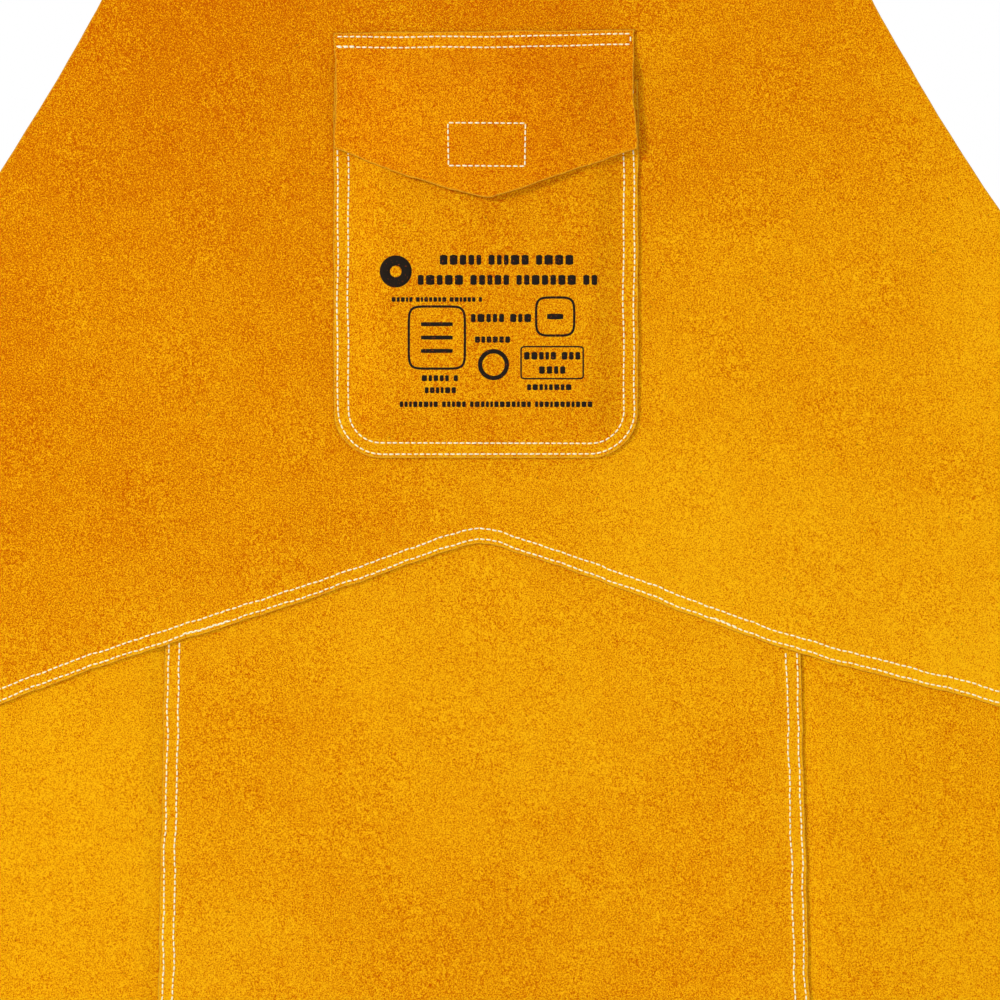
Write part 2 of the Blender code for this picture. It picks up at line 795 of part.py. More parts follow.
def neck_geometry():
    """(lean of the neck straps, ring centre to where they meet the hook)."""
    hook = HOOK_RADIUS + STRAP_LEATHER / 2
    rise = -HOOK_RADIUS - NECK_RING_Z
    reach = math.hypot(NECK_RING_X, rise)
    lean = math.atan2(NECK_RING_X, rise) - math.asin(hook / reach)
    return lean, math.sqrt(reach**2 - hook**2)


def neck_side(space, along_points, outward):
    """Stations of the long strap on one side, from (along, front) points. It
    turns on edge between TWIST_FROM and TWIST_TO, to lie flat on the hook."""
    found = []
    for s, z in along_points:
        t = min(max((s - TWIST_FROM) / (TWIST_TO - TWIST_FROM), 0), 1)
        turn = t * t * (3 - 2 * t) * math.pi / 2
        flat = space.to_3x3() @ Vector((0, outward, 0))
        across = flat * math.cos(turn) + Vector((0, 1, 0)) * math.sin(turn)
        found.append((space @ Vector((s, 0, z)), across, STRAP_WIDTH / 2))
    return found


def make_neck_strap():
    lean, reach = neck_geometry()
    front = (0, -1, 0)
    spaces = []
    for name, side in (("left", -1), ("right", 1)):
        centre = Vector((side * NECK_RING_X, 0, NECK_RING_Z))
        along = (-side * math.sin(lean), 0, math.cos(lean))
        spaces.append(empty(f"neck_strap_{name}_space", centre, along, front))
    left, right = spaces
    buckled_strap("neck_strap_short", "neck", NECK_HEEL, right)

    twist = [TWIST_FROM + (TWIST_TO - TWIST_FROM) * k / 10 for k in range(11)]
    blend = ease((FOLD_SETTLED + LAP, -STRAP_LEG), (TWIST_FROM, 0), 6)
    rise = ring_fold() + blend + [(s, 0) for s in twist[1:]] + [(reach, 0)]
    roller = NECK_HEEL + BUCKLE_LENGTH
    fall = [(reach, 0)] + [(s, 0) for s in reversed(twist)]
    fall += ease((TWIST_FROM - LAP, 0), (roller + 0.010, -BEHIND_ROLLER), 4)
    fall += ease((roller, -BEHIND_ROLLER), (NECK_HEEL, OVER_HEEL), 14)
    settled = (NECK_HEEL - TAIL_SETTLED, TAIL_LEG)
    fall += ease((NECK_HEEL - TAIL_CLEAR_FROM, OVER_HEEL), settled, 5)
    hook = HOOK_RADIUS + STRAP_LEATHER / 2
    over = arc(0, -HOOK_RADIUS, hook, 180 - math.degrees(lean), math.degrees(lean), 10)
    half = STRAP_WIDTH / 2
    stations = neck_side(left.matrix_world, rise, 1)
    stations += [((x, 0, z), (0, 1, 0), half) for x, z in over[1:-1]]
    stations += neck_side(right.matrix_world, fall, -1)
    across = right.matrix_world.to_3x3() @ Vector((0, -1, 0))
    end = NECK_HEEL - NECK_TAIL
    for s, width in round_tip(0, half):
        place = right.matrix_world @ Vector((end - s, 0, TAIL_LEG))
        stations.append((place, across, width))
    strap = ribbon("neck_strap_long", stations, STRAP_LEATHER, None, "strap_suede")

    place = (FOLD_RIVET, 0, 0)
    boolean(strap, pins("neck_left_rivet_cutter", [place], RIVET_HOLE, 0.02, left))
    rivet("neck_strap_long_ring_rivet", left, place, STRAP_LEG + STRAP_LEATHER / 2)
    hole = prong("neck_prong_hole_cutter", NECK_HEEL, right, PRONG_WIRE + FOLD_PLAY)
    boolean(strap, as_mesh(hole))
    places = [(roller + 0.008 + k * HOLE_PITCH, 0, 0) for k in range(NECK_FREE_HOLES)]
    boolean(strap, pins("neck_strap_hole_cutter", places, HOLE_RADIUS, 0.02, right))


def build():
    places = [(x, z, 0) for x, z in tab_rivet_places()]
    holes = pins("tab_rivet_cutter", places, RIVET_HOLE, 0.02)
    holes.rotation_euler = (math.pi / 2, 0, 0)
    make_panels(holes)
    make_pocket()
    for name, side in (("left", -1), ("right", 1)):
        neck_ring(f"neck_ring_{name}", side)
        waist_ring(f"waist_ring_{name}", side)
    make_tabs(holes)
    make_waist_straps()
    make_neck_strap()


clear_scene()
PARTS = new_collection("welding_apron")
CUTTERS = new_collection("cutters")
CUTTERS.hide_render = True
build()
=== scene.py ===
"""The finished look of a welding apron of split suede leather.

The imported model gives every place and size. This script lays the leather, the
stitching, the straps and the metalwork over it. Lengths are in metres, +Z is up
and the apron's front faces -Y. Run as a script, it builds everything in order;
the panel in the sidebar lists the same steps.
"""

import math

import bmesh
import bpy
import numpy as np
from bpy.props import FloatProperty, FloatVectorProperty, PointerProperty
from bpy.types import Operator, Panel, PropertyGroup
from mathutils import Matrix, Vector
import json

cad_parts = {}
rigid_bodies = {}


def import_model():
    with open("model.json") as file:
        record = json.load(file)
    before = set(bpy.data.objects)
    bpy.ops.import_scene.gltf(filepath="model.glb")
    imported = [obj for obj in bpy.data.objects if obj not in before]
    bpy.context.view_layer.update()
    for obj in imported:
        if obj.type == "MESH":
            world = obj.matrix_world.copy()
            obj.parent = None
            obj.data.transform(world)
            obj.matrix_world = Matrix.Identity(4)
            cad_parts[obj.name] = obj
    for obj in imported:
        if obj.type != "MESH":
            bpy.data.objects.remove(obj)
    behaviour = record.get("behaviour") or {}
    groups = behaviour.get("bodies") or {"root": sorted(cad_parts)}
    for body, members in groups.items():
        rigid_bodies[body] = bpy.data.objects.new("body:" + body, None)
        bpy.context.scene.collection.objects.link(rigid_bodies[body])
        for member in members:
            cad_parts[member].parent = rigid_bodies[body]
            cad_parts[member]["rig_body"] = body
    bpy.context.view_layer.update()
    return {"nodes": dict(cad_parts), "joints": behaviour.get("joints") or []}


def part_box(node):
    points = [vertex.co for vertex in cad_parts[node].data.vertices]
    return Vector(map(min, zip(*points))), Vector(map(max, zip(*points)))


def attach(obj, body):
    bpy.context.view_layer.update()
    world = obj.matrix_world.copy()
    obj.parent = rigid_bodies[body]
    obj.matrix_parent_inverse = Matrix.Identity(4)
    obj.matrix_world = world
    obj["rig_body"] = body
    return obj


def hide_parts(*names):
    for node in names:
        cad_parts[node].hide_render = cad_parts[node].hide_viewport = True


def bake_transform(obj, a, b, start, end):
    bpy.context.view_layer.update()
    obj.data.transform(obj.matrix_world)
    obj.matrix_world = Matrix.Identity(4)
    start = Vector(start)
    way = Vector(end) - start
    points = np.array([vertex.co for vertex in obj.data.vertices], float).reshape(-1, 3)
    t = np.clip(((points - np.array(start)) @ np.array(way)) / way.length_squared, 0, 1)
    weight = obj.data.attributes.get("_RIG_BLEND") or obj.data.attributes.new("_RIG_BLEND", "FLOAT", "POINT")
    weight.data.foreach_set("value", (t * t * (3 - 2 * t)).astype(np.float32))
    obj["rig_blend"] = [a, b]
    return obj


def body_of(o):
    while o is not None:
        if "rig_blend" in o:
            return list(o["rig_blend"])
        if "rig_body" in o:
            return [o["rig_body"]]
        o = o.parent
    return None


bl_info = {
    "name": "Welding Apron Finish",
    "version": (1, 0, 0),
    "blender": (4, 5, 0),
    "location": "View3D > Sidebar > Apron",
    "description": "Leather, stitching, straps and metalwork of a welding apron",
    "category": "Add Mesh",
}

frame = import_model()

MM = 0.001


def corners(node):
    """A node's lowest and highest corner, as arrays."""
    low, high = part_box(node)
    return np.array(low, float), np.array(high, float)


BIB_LOW, BIB_HIGH = corners("bib_panel")
CENTRE_LOW, CENTRE_HIGH = corners("centre_skirt_panel")
SIDE_LOW, SIDE_HIGH = corners("right_skirt_panel")
POUCH_LOW, POUCH_HIGH = corners("pocket_pouch")
HEADING_LOW, HEADING_HIGH = corners("flap_heading")
FLAP_LOW, FLAP_HIGH = corners("pocket_flap")

HALF_WIDTH = BIB_HIGH[0]
BIB_TOP = BIB_HIGH[2]
HEM = CENTRE_LOW[2]
BIB_Y = (BIB_LOW[1] + BIB_HIGH[1]) / 2
CENTRE_Y = (CENTRE_LOW[1] + CENTRE_HIGH[1]) / 2
SIDE_Y = (SIDE_LOW[1] + SIDE_HIGH[1]) / 2
LEATHER = BIB_HIGH[1] - BIB_LOW[1]
WAIST_Z = sum(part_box("waist_ring_right")[k][2] for k in (0, 1)) / 2
CENTRE_HEM_HALF = CENTRE_HIGH[0]

# Sizes of the apron's cut that no node's box gives
BIB_TOP_HALF = 0.160
BIB_CORNER = 8 * MM
ARMHOLE_HEIGHT = 0.310
ARMHOLE_LEAD = 0.36  # its slope outwards at the top
ARMHOLE_BEND = (HALF_WIDTH - BIB_TOP_HALF - ARMHOLE_LEAD * ARMHOLE_HEIGHT) / ARMHOLE_HEIGHT**2
LAP = 12 * MM
SEAM_SLOPE = 0.34
SEAM_ROUND = 8 * MM
SEAM_POINT = CENTRE_HIGH[2] - LAP
CENTRE_TOP_HALF = 0.191  # where its side edges meet the seam
HEM_CORNER = 20 * MM
POUCH_CORNER = 29 * MM
POUCH_RIM = 9 * MM
POUCH_SHIFT = -0.7 * MM  # the pouch is sewn on this far off the middle
SEAM_AT = -5 * MM  # where across the seam's point is
SEAM_SQUARE = math.cos(math.atan(SEAM_SLOPE))  # a rise above the seam to a distance from it
ARMHOLE_SQUARE = 0.85  # about the same for the armhole
FLAP_SQUARE = 0.94  # and for the two slanting edges of the flap's foot
HEADING_LEAN = 0.011  # the flap's heading rises towards the right
LOCKED_STRETCHES = ((-0.183, -0.155), (0.136, 0.150))  # where the V seam's thread was locked

# The directions of a node's box
X_AXIS, Y_AXIS, Z_AXIS = np.eye(3)

# How far the hand-cut seam strays from its straight line: place across, rise in mm
SEAM_STRAY = (
    (-0.325, -1.5),
    (-0.230, 1.4),
    (-0.110, -0.7),
    (0.030, 1.0),
    (0.175, -2.5),
    (0.325, 7.0),
)


# What a user would change


def length(name, size, description):
    """A length property: its default is in metres."""
    return FloatProperty(
        name=name, description=description, default=size, unit="LENGTH", precision=5
    )


class ApronSizes(PropertyGroup):
    """Sizes of the sewing and of the leather's hang."""

    stitch_pitch: length("Stitch length", 3.65 * MM, "From one stitch to the next")
    thread_radius: length("Thread radius", 0.44 * MM, "Half the thickness of the thread")
    row_edge: length("Edge to first row", 2.5 * MM, "From a cut edge to the nearer row")
    row_spacing: length("Row spacing", 6.3 * MM, "Between the two rows of a seam")
    hem_sway: length("Hem sway", 8.0 * MM, "How far the folds stand out at the hem")


def linear(code):
    """Linear red, green and blue from an sRGB hex colour: each byte over 255,
    then the sRGB curve undone."""
    values = np.array([int(code[k : k + 2], 16) / 255 for k in (0, 2, 4)])
    curved = ((values + 0.055) / 1.055) ** 2.4
    return tuple(np.where(values <= 0.04045, values / 12.92, curved).tolist())


def colour(name, code, description):
    """A colour property whose default is a hex colour."""
    return FloatVectorProperty(
        name=name,
        description=description,
        subtype="COLOR",
        size=3,
        min=0,
        max=1,
        default=linear(code),
    )


class ApronColours(PropertyGroup):
    """Colours of the leather, thread, ink, tape and metal."""

    suede_light: colour("Suede, light", "FABC10", "Where the nap is brushed pale")
    suede_mid: colour("Suede, middle", "E08602", "The suede's main colour")
    suede_dark: colour("Suede, dark", "C05200", "Where the nap lies dark")
    cut_edge: colour("Cut edge", "DBA52A", "The leather's raw edge")
    thread: colour("Thread", "FFFFDE", "The sewing thread")
    ink: colour("Ink", "1C1206", "The printed marks")
    tape: colour("Tape", "2B2620", "Hook-and-loop tape")
    nickel: colour("Nickel", "D6D2C8", "The plated rings, rivets and buckles")


# Shapes


def smooth(t):
    """An S from 0 to 1: three t squared less two t cubed, held outside 0 to 1."""
    t = np.clip(t, 0, 1)
    return t * t * (3 - 2 * t)


def eased(x, stations):
    """A smooth curve through stations of (place, value in mm), an S between each."""
    places, values = np.array(stations).T
    k = np.clip(np.searchsorted(places, x) - 1, 0, len(places) - 2)
    t = smooth((x - places[k]) / (places[k + 1] - places[k]))
    return (values[k] + (values[k + 1] - values[k]) * t) * MM


def wave(turns):
    """A sine of a place given in whole turns."""
    return np.sin(2 * np.pi * turns)


def waver(place, seed, lengths, size):
    """The small stray of a hand-cut line: the mean of one sine wave for each
    length, at seeded phases, times size."""
    phases = np.random.default_rng(seed).random(len(lengths))
    waves = [wave(place / length + phase) for length, phase in zip(lengths, phases)]
    return size * sum(waves) / len(lengths)


def ragged(place, seed):
    """The finest nicks that the knife left in a cut edge."""
    return waver(place, seed, (0.0083, 0.0117, 0.0061), 0.22 * MM)


def sway(x, z):
    """How far the hung leather stands back from its flat plane: broad upright
    folds that grow towards the hem, and faint ripples, dying away at the tabs."""
    depth = smooth((z - (SEAM_POINT + 0.02)) / (HEM - SEAM_POINT))
    folds = 0.65 * wave(x / 0.33 + 0.13) + 0.35 * wave(x / 0.21 - 0.2)
    ripple = wave(x / 0.11 + z / 0.23) * wave(z / 0.145 - x / 0.31)
    neck = smooth((BIB_TOP - 0.04 - z) / 0.08)
    waist = 1 - np.exp(-(((np.abs(x) - HALF_WIDTH) / 0.07) ** 2) - ((z - WAIST_Z) / 0.06) ** 2)
    return SIZES["hem_sway"] * depth * folds + 0.30 * MM * ripple * neck * waist


def armhole_half(depth):
    """Half width of the bib at a depth: a parabola that meets the full width at
    the foot of the armhole, with a rounded corner at the top."""
    d = np.clip(depth, 0, ARMHOLE_HEIGHT)
    half = BIB_TOP_HALF + ARMHOLE_LEAD * d + ARMHOLE_BEND * d**2
    corner = np.clip(1 - d / BIB_CORNER, 0, 1)
    return half - BIB_CORNER * (1 - np.sqrt(1 - corner**2))


def seam_z(x):
    """Height of the bib's raw lower edge: a hyperbola near its point, straight
    beyond it, plus the stray of the hand-cut line and its small nicks."""
    wide = SEAM_SLOPE * (np.hypot(x - SEAM_AT, SEAM_ROUND) - SEAM_ROUND)
    nicks = waver(x, 3, (0.031, 0.047, 0.019), 0.45 * MM) + ragged(x, 4)
    return SEAM_POINT - wide + eased(x, SEAM_STRAY) + nicks


def centre_edge(z, side):
    """Where the centre skirt panel's raw edge is: it widens towards the hem."""
    top = SEAM_POINT - SEAM_SLOPE * CENTRE_TOP_HALF
    share = (z - HEM) / (top - HEM)
    half = CENTRE_HEM_HALF + (CENTRE_TOP_HALF - CENTRE_HEM_HALF) * share
    nicks = waver(z, 5 + side, (0.043, 0.027, 0.11), 0.5 * MM) + ragged(z, 7 + side)
    return side * half - (1.0 + 1.6 * share) * MM + nicks


def skirt_top(x):
    """The skirt panels run up behind the bib's edge by one lap."""
    return seam_z(x) + LAP


def skirt_foot(x):
    """The hem's hand-cut line."""
    return HEM + 0.5 * MM + waver(x, 37, (0.06, 0.031), 0.4 * MM)


def side_y(x, z):
    """The side panels' middle: behind the centre panel at the lap, and level
    with it a little further out."""
    side = np.where(x < 0, -1, 1)
    beyond = (x - centre_edge(z, side)) * side
    return SIDE_Y + (CENTRE_Y - SIDE_Y) * smooth((beyond - 1.5 * MM) / (9 * MM))


def pouch_inset(x, z):
    """Distance in from the pouch's U-shaped edge: that of a rounded box with no top."""
    across = np.abs(x - POUCH_SHIFT) - (POUCH_HIGH[0] - POUCH_CORNER)
    down = (POUCH_LOW[2] + POUCH_CORNER) - z
    outside = np.hypot(np.maximum(across, 0), np.maximum(down, 0))
    return POUCH_CORNER - outside - np.minimum(np.maximum(across, down), 0)


def pouch_front(x, z):
    """The pouch's front: flat on the bib at its sewn rim, then swelling out in an
    S, fullest along the middle by a cosine."""
    rise = smooth((pouch_inset(x, z) - POUCH_RIM) / (21 * MM))
    crown = 0.80 + 0.20 * np.cos(np.pi * (x - POUCH_SHIFT) / (2 * POUCH_HIGH[0]))
    full = POUCH_HIGH[1] - LEATHER - POUCH_LOW[1]
    return POUCH_HIGH[1] - LEATHER - full * rise * crown + sway(x, z)


def flap_middle(x, z):
    """The flap's middle: sewn flat at its heading, out over the pouch's mouth in
    an S, furthest out over the tape and lower towards its sides."""
    sewn = (HEADING_LOW[1] + HEADING_HIGH[1]) / 2
    crest = FLAP_LOW[1] + LEATHER / 2
    side = sewn - 3.6 * MM
    full = side + (crest - side) * smooth(1 - (np.abs(x) - 34 * MM) / (56.5 * MM))
    out = smooth((HEADING_LOW[2] - z) / (19 * MM))
    return sewn + (full - sewn) * out + sway(x, z)


def heading_top(x):
    """The top edge of the flap's heading, which leans."""
    return HEADING_HIGH[2] - 0.2 * MM + x * HEADING_LEAN


def flap_side(z, side):
    """The flap's wavy raw side, through its three places across in mm."""
    top, foot = FLAP_HIGH[2] + 10 * MM, FLAP_LOW[2] + 30 * MM
    across = (90.4, 87.8, 88.6) if side > 0 else (-91.8, -90.6, -92.2)
    places = (foot, foot + 0.55 * (top - foot), top)
    nicks = waver(z, 11 + side, (0.035, 0.018), 0.3 * MM) + ragged(z, 14 + side)
    return eased(z, tuple(zip(places, across))) + nicks


def flap_foot(x):
    """The flap's pointed lower edge, its left half bellied by a sine."""
    point, middle = FLAP_LOW[2] + 0.3 * MM, 1.6 * MM
    corner = point + 30.6 * MM
    reach = np.abs(x - middle) / (FLAP_HIGH[0] + np.where(x < middle, middle, -middle))
    belly = np.where(x < middle, 2.6 * MM * np.sin(np.pi * np.clip(reach, 0, 1)), 0)
    rounded = (np.hypot(reach, 0.025) - 0.025) * (corner - point)
    nicks = waver(x, 17, (0.023, 0.041), 0.35 * MM) + ragged(x, 18)
    return point + rounded - belly + nicks


# Meshes


def quads_of(k):
    """The quads between neighbours in a table of point numbers."""
    return np.stack([k[:-1, :-1], k[:-1, 1:], k[1:, 1:], k[1:, :-1]], -1).reshape(-1, 4)


def grid_quads(rows, columns, start=0):
    """Quads of a grid whose points are numbered row by row."""
    return quads_of(start + np.arange(rows * columns).reshape(rows, columns))


def ring_quads(k, closed=False):
    """Quads of rings of points, one ring a row: each ring joins itself, and if
    closed the last ring joins the first."""
    rings = np.concatenate([k, k[:1]]) if closed else k
    return quads_of(np.concatenate([rings, rings[:, :1]], axis=1))


def rim(rows, columns):
    """The numbers of a grid's border points, once round."""
    k = np.arange(rows * columns).reshape(rows, columns)
    return np.concatenate([k[0, :-1], k[:-1, -1], k[-1, :0:-1], k[:0:-1, 0]])


def outward(points, quads):
    """The quads, turned round if the volume that they close is negative."""
    a, b, c, d = (points[quads[:, k]] for k in range(4))
    volume = np.einsum("ij,ij->i", a, np.cross(b, c)) + np.einsum("ij,ij->i", a, np.cross(c, d))
    return quads[:, ::-1] if volume.sum() < 0 else quads


def add_mesh(name, points, faces, smooth_angle=180):
    """A new object at the origin from points and faces, shaded smooth."""
    mesh = bpy.data.meshes.new(name)
    mesh.from_pydata(np.asarray(points, float).tolist(), [], [list(map(int, f)) for f in faces])
    mesh.shade_smooth()
    if smooth_angle < 180:
        mesh.set_sharp_from_angle(angle=math.radians(smooth_angle))
    obj = bpy.data.objects.new(name, mesh)
    bpy.context.scene.collection.objects.link(obj)
    return obj


def add_value(obj, name, values):
    """A number on each point, for the material to read: one for each, or one for all."""
    layer = obj.data.attributes.new(name, "FLOAT", "POINT")
    numbers = np.empty(len(obj.data.vertices), np.float32)
    numbers[:] = np.ravel(values)
    layer.data.foreach_set("value", numbers)


DEEP = 20  # millimetres from a cut edge at which the material no longer heeds it


def leather(name, x, z, middle, inset, dent=0, band=0, thickness=None):
    """A piece of leather over a grid of x and z. Its front and back lie half a
    thickness each side of the middle, and its cut edge is rounded by a rim line
    at the middle, with the front's and back's borders drawn in from it. inset is
    the distance from the cut edge, 0 only on the rim line itself."""
    half = (thickness or LEATHER) / 2
    rows, columns = x.shape
    edge = rim(rows, columns)
    sheets = []
    for y in (middle - half + dent, middle + half):
        points = np.stack([x, y + 0 * x, z], -1)
        for line, inner in ((0, 1), (-1, -2)):
            points[line] += 0.5 * (points[inner] - points[line])
            points[:, line] += 0.5 * (points[:, inner] - points[:, line])
        sheets.append(points.reshape(-1, 3))
    rim_points = np.stack([x, middle + 0 * x, z], -1).reshape(-1, 3)[edge]
    count, turn = rows * columns, len(edge)
    points = np.concatenate([*sheets, rim_points])
    mid = 2 * count + np.arange(turn)
    after = np.roll(np.arange(turn), -1)
    front, back = grid_quads(rows, columns), grid_quads(rows, columns, count)[:, ::-1]
    outer = np.stack([edge, mid, mid[after], edge[after]], -1)
    inner = np.stack([mid, edge + count, edge[after] + count, mid[after]], -1)
    quads = outward(points, np.concatenate([front, back, outer, inner]))
    obj = add_mesh(name, points, quads)
    flat = (np.clip(inset / MM, 0.3, DEEP) + 0 * x).ravel()
    add_value(obj, "inset", np.concatenate([flat, flat, np.zeros(turn)]))
    sewn = (band + 0 * x).ravel()
    add_value(obj, "band", np.concatenate([sewn, 0 * sewn, 0 * edge]))
    return obj


EDGE_LINES = np.array([0, 0.5, 1.3, 2.5, 4, 6, 9]) * MM


def lines(length, step, near_start=EDGE_LINES, near_end=EDGE_LINES):
    """Places from 0 to length: close together near both ends, a step apart between."""
    start, end = near_start[-1] + step, length - near_end[-1] - step
    count = max(2, round((end - start) / step) + 1)
    return np.concatenate([near_start, np.linspace(start, end, count), length - near_end[::-1]])


def from_edges(x, z, left, right, top, foot):
    """The distance to the nearest of a piece's four edges, along x or z."""
    sides = np.minimum(x - left(z), right(z) - x)
    return np.minimum(sides, np.minimum(top(x) - z, z - foot(x)))


def cut_panel(left, right, top, bottom, across, step, low_lines=EDGE_LINES):
    """Grids of x and z over an outline. left and right are functions of z, top and
    bottom of x. Columns share the width, about across apart; the rows near an edge
    keep their distance from it, and those between are about a step apart."""
    wide = abs(right(HEM) - left(HEM))
    t = lines(wide, across) / wide
    foot_x = left(bottom(0)) + t * (right(bottom(0)) - left(bottom(0)))
    for _ in range(3):
        foot_z = bottom(foot_x)
        foot_x = left(foot_z) + t * (right(foot_z) - left(foot_z))
    head_x = left(top(0)) + t * (right(top(0)) - left(top(0)))
    for _ in range(3):
        head_z = top(head_x)
        head_x = left(head_z) + t * (right(head_z) - left(head_z))
    tall = float(np.max(head_z - foot_z))
    down = lines(tall, step, EDGE_LINES, low_lines)
    free = (down - EDGE_LINES[-1]) / (tall - EDGE_LINES[-1] - low_lines[-1])
    share = np.clip(free, 0, 1)[:, None]
    from_top = np.minimum(down, EDGE_LINES[-1])[:, None]
    from_foot = np.minimum(tall - down, low_lines[-1])[:, None]
    upper, lower = head_z - EDGE_LINES[-1], foot_z + low_lines[-1]
    z = upper + (lower - upper) * share
    z = z + (EDGE_LINES[-1] - from_top) - (low_lines[-1] - from_foot)
    return left(z) + t * (right(z) - left(z)), z


def seam_rows():
    """How far in from a cut edge a seam's two rows of stitches are."""
    return SIZES["row_edge"], SIZES["row_edge"] + SIZES["row_spacing"]


def row_dent(distance):
    """Where the two rows of a seam draw the leather in: a bell curve about each."""
    deep, wide = 0.16 * MM, 0.9 * MM
    return sum(deep * np.exp(-(((distance - row) / wide) ** 2)) for row in seam_rows())


def row_band(distance):
    """1 on the sewn band between a cut edge and its second row, 0 past it."""
    return 1 - smooth((distance - seam_rows()[1] + 0.5 * MM) / (2 * MM))


def seam_lines():
    """Distances from a sewn edge that the mesh needs to follow both rows."""
    first, second = seam_rows()
    close = np.array([-1.4, -0.7, 0, 0.7, 1.4]) * MM
    fill = [0, 0.5 * MM, (first + second) / 2, second + 3 * MM, second + 7 * MM]
    return np.unique(np.concatenate([fill, first + close, second + close]))


def dress(obj, body, kind, *nodes, slot="suede"):
    """Gives a piece its material and its body, and hides the nodes that it stands for."""
    obj.data.materials.clear()
    obj.data.materials.append(MATERIALS[kind])
    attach(obj, body)
    if nodes:
        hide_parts(*nodes)
    return obj


# Stitches


def front_row(x, z, surface):
    """A row's path from its x and z on a front surface, and the face's direction."""
    return np.stack([x, surface(x, z), z], -1), -1


def both_faces(x, z, front, back):
    """The same row on a front and on a back surface."""
    return [front_row(x, z, front), (np.stack([x, back(x, z), z], -1), 1)]


def stitch_places(path, pitch, rng):
    """Centres and directions of the stitches along a path, evenly spaced along
    its length, each a little off in place and direction."""
    steps = np.linalg.norm(np.diff(path, axis=0), axis=1)
    along = np.concatenate([[0], np.cumsum(steps)])
    count = max(1, int(along[-1] / pitch))
    places = (np.arange(count) + 0.5) * along[-1] / count
    places += rng.normal(0, 0.02 * pitch, count)

    def at(s):
        return np.stack([np.interp(s, along, path[:, k]) for k in range(3)], -1)

    ahead = at(places + 0.3 * pitch) - at(places - 0.3 * pitch)
    astray = rng.normal(0, 0.035, ahead.shape) * [1, 0, 1]
    ahead += astray * np.linalg.norm(ahead, axis=1)[:, None]
    return at(places), ahead / np.linalg.norm(ahead, axis=1)[:, None]


def stitching(name, rows, body, seed=1):
    """One object of thread stitches. Each stitch is a bowed spindle of seven-sided
    rings: thickest in the middle, its ends dipping into the leather. rows holds
    (path, -1 on a front face or 1 on a back face)."""
    rng = np.random.default_rng(seed)
    radius, pitch = SIZES["thread_radius"], SIZES["stitch_pitch"]
    reach = np.array([-1, -0.86, -0.45, 0, 0.45, 0.86, 1]) * 0.41 * pitch
    girth = np.array([0.35, 0.75, 1, 1.04, 1, 0.75, 0.35]) * radius
    lift = np.array([-0.75, -0.1, 0.5, 0.62, 0.5, -0.1, -0.75]) * radius
    angles = np.arange(7) / 7 * 2 * np.pi
    meshes = []
    for path, face in rows:
        centre, ahead = stitch_places(path, pitch, rng)
        out = np.array([0.0, face, 0.0])
        across = np.cross(ahead, out)
        across /= np.linalg.norm(across, axis=1)[:, None]
        size = (1 + rng.normal(0, 0.05, len(centre)))[:, None, None, None]
        middle = centre[:, None] + ahead[:, None] * reach[:, None] + out * lift[:, None]
        around = (
            across[:, None, None] * np.cos(angles)[:, None]
            + out * 0.65 * np.sin(angles)[:, None]
        )
        meshes.append(middle[:, :, None] + around * girth[:, None, None] * size)
    points = np.concatenate(meshes)
    count, rings, sides = points.shape[:3]
    k = np.arange(rings * sides).reshape(rings, sides)
    quads = ring_quads(k)
    block = points.reshape(-1, 3)
    one = outward(block[: rings * sides], quads)
    turned = not np.array_equal(one, quads)
    start, end = (k[0], k[-1][::-1]) if turned else (k[0][::-1], k[-1])
    base = np.arange(count)[:, None] * rings * sides
    faces = [*(base[:, None] + one).reshape(-1, 4), *(base + start), *(base + end)]
    obj = add_mesh(name, block, faces)
    return dress(obj, body, "thread", slot="suede")


# Materials

MATERIALS = {}
SIZES = {}


def settle(scene):
    """Reads the sizes, which every step does first, and makes the materials once."""
    for name in ApronSizes.__annotations__:
        SIZES[name] = getattr(scene.apron_sizes, name)
    if not MATERIALS:
        make_materials(scene.apron_colours)


def new_material(name):
    """A material, its node tree and its shader."""
    material = bpy.data.materials.new(name)
    material.use_nodes = True
    return material, material.node_tree, material.node_tree.nodes["Principled BSDF"]


def add(tree, kind, inputs=None, **settings):
    """Adds a node. Each input is a value, or another node's output to link."""
    node = tree.nodes.new(f"ShaderNode{kind}")
    for key, value in settings.items():
        setattr(node, key, value)
    for key, value in (inputs or {}).items():
        if isinstance(value, bpy.types.NodeSocket):
            tree.links.new(value, node.inputs[key])
        else:
            node.inputs[key].default_value = value
    return node


def rgba(values):
    """A colour with full opacity."""
    return (*values, 1)


def noise(tree, at, size, detail, roughness=0.6, distortion=0.0):
    """A noise pattern whose largest grains are about the size given in mm."""
    inputs = {
        "Vector": at,
        "Scale": 1 / (size * MM),
        "Detail": detail,
        "Roughness": roughness,
        "Distortion": distortion,
    }
    return add(tree, "TexNoise", inputs).outputs["Fac"]


def weigh(tree, value, low, high, start=0.0, end=1.0):
    """Stretches a value from low..high to start..end, held at both ends."""
    inputs = {"Value": value, 1: low, 2: high, 3: start, 4: end}
    return add(tree, "MapRange", inputs, clamp=True).outputs[0]


def join(tree, operation, a, b):
    """A Math node's result."""
    return add(tree, "Math", {0: a, 1: b}, operation=operation).outputs[0]


def mixed(tree, share, a, b, blend="MIX"):
    """Two colours mixed by a share."""
    node = add(tree, "Mix", data_type="RGBA", blend_type=blend)
    for socket, value in ((node.inputs[0], share), (node.inputs[6], a), (node.inputs[7], b)):
        if isinstance(value, bpy.types.NodeSocket):
            tree.links.new(value, socket)
        else:
            socket.default_value = value
    return node.outputs[2]


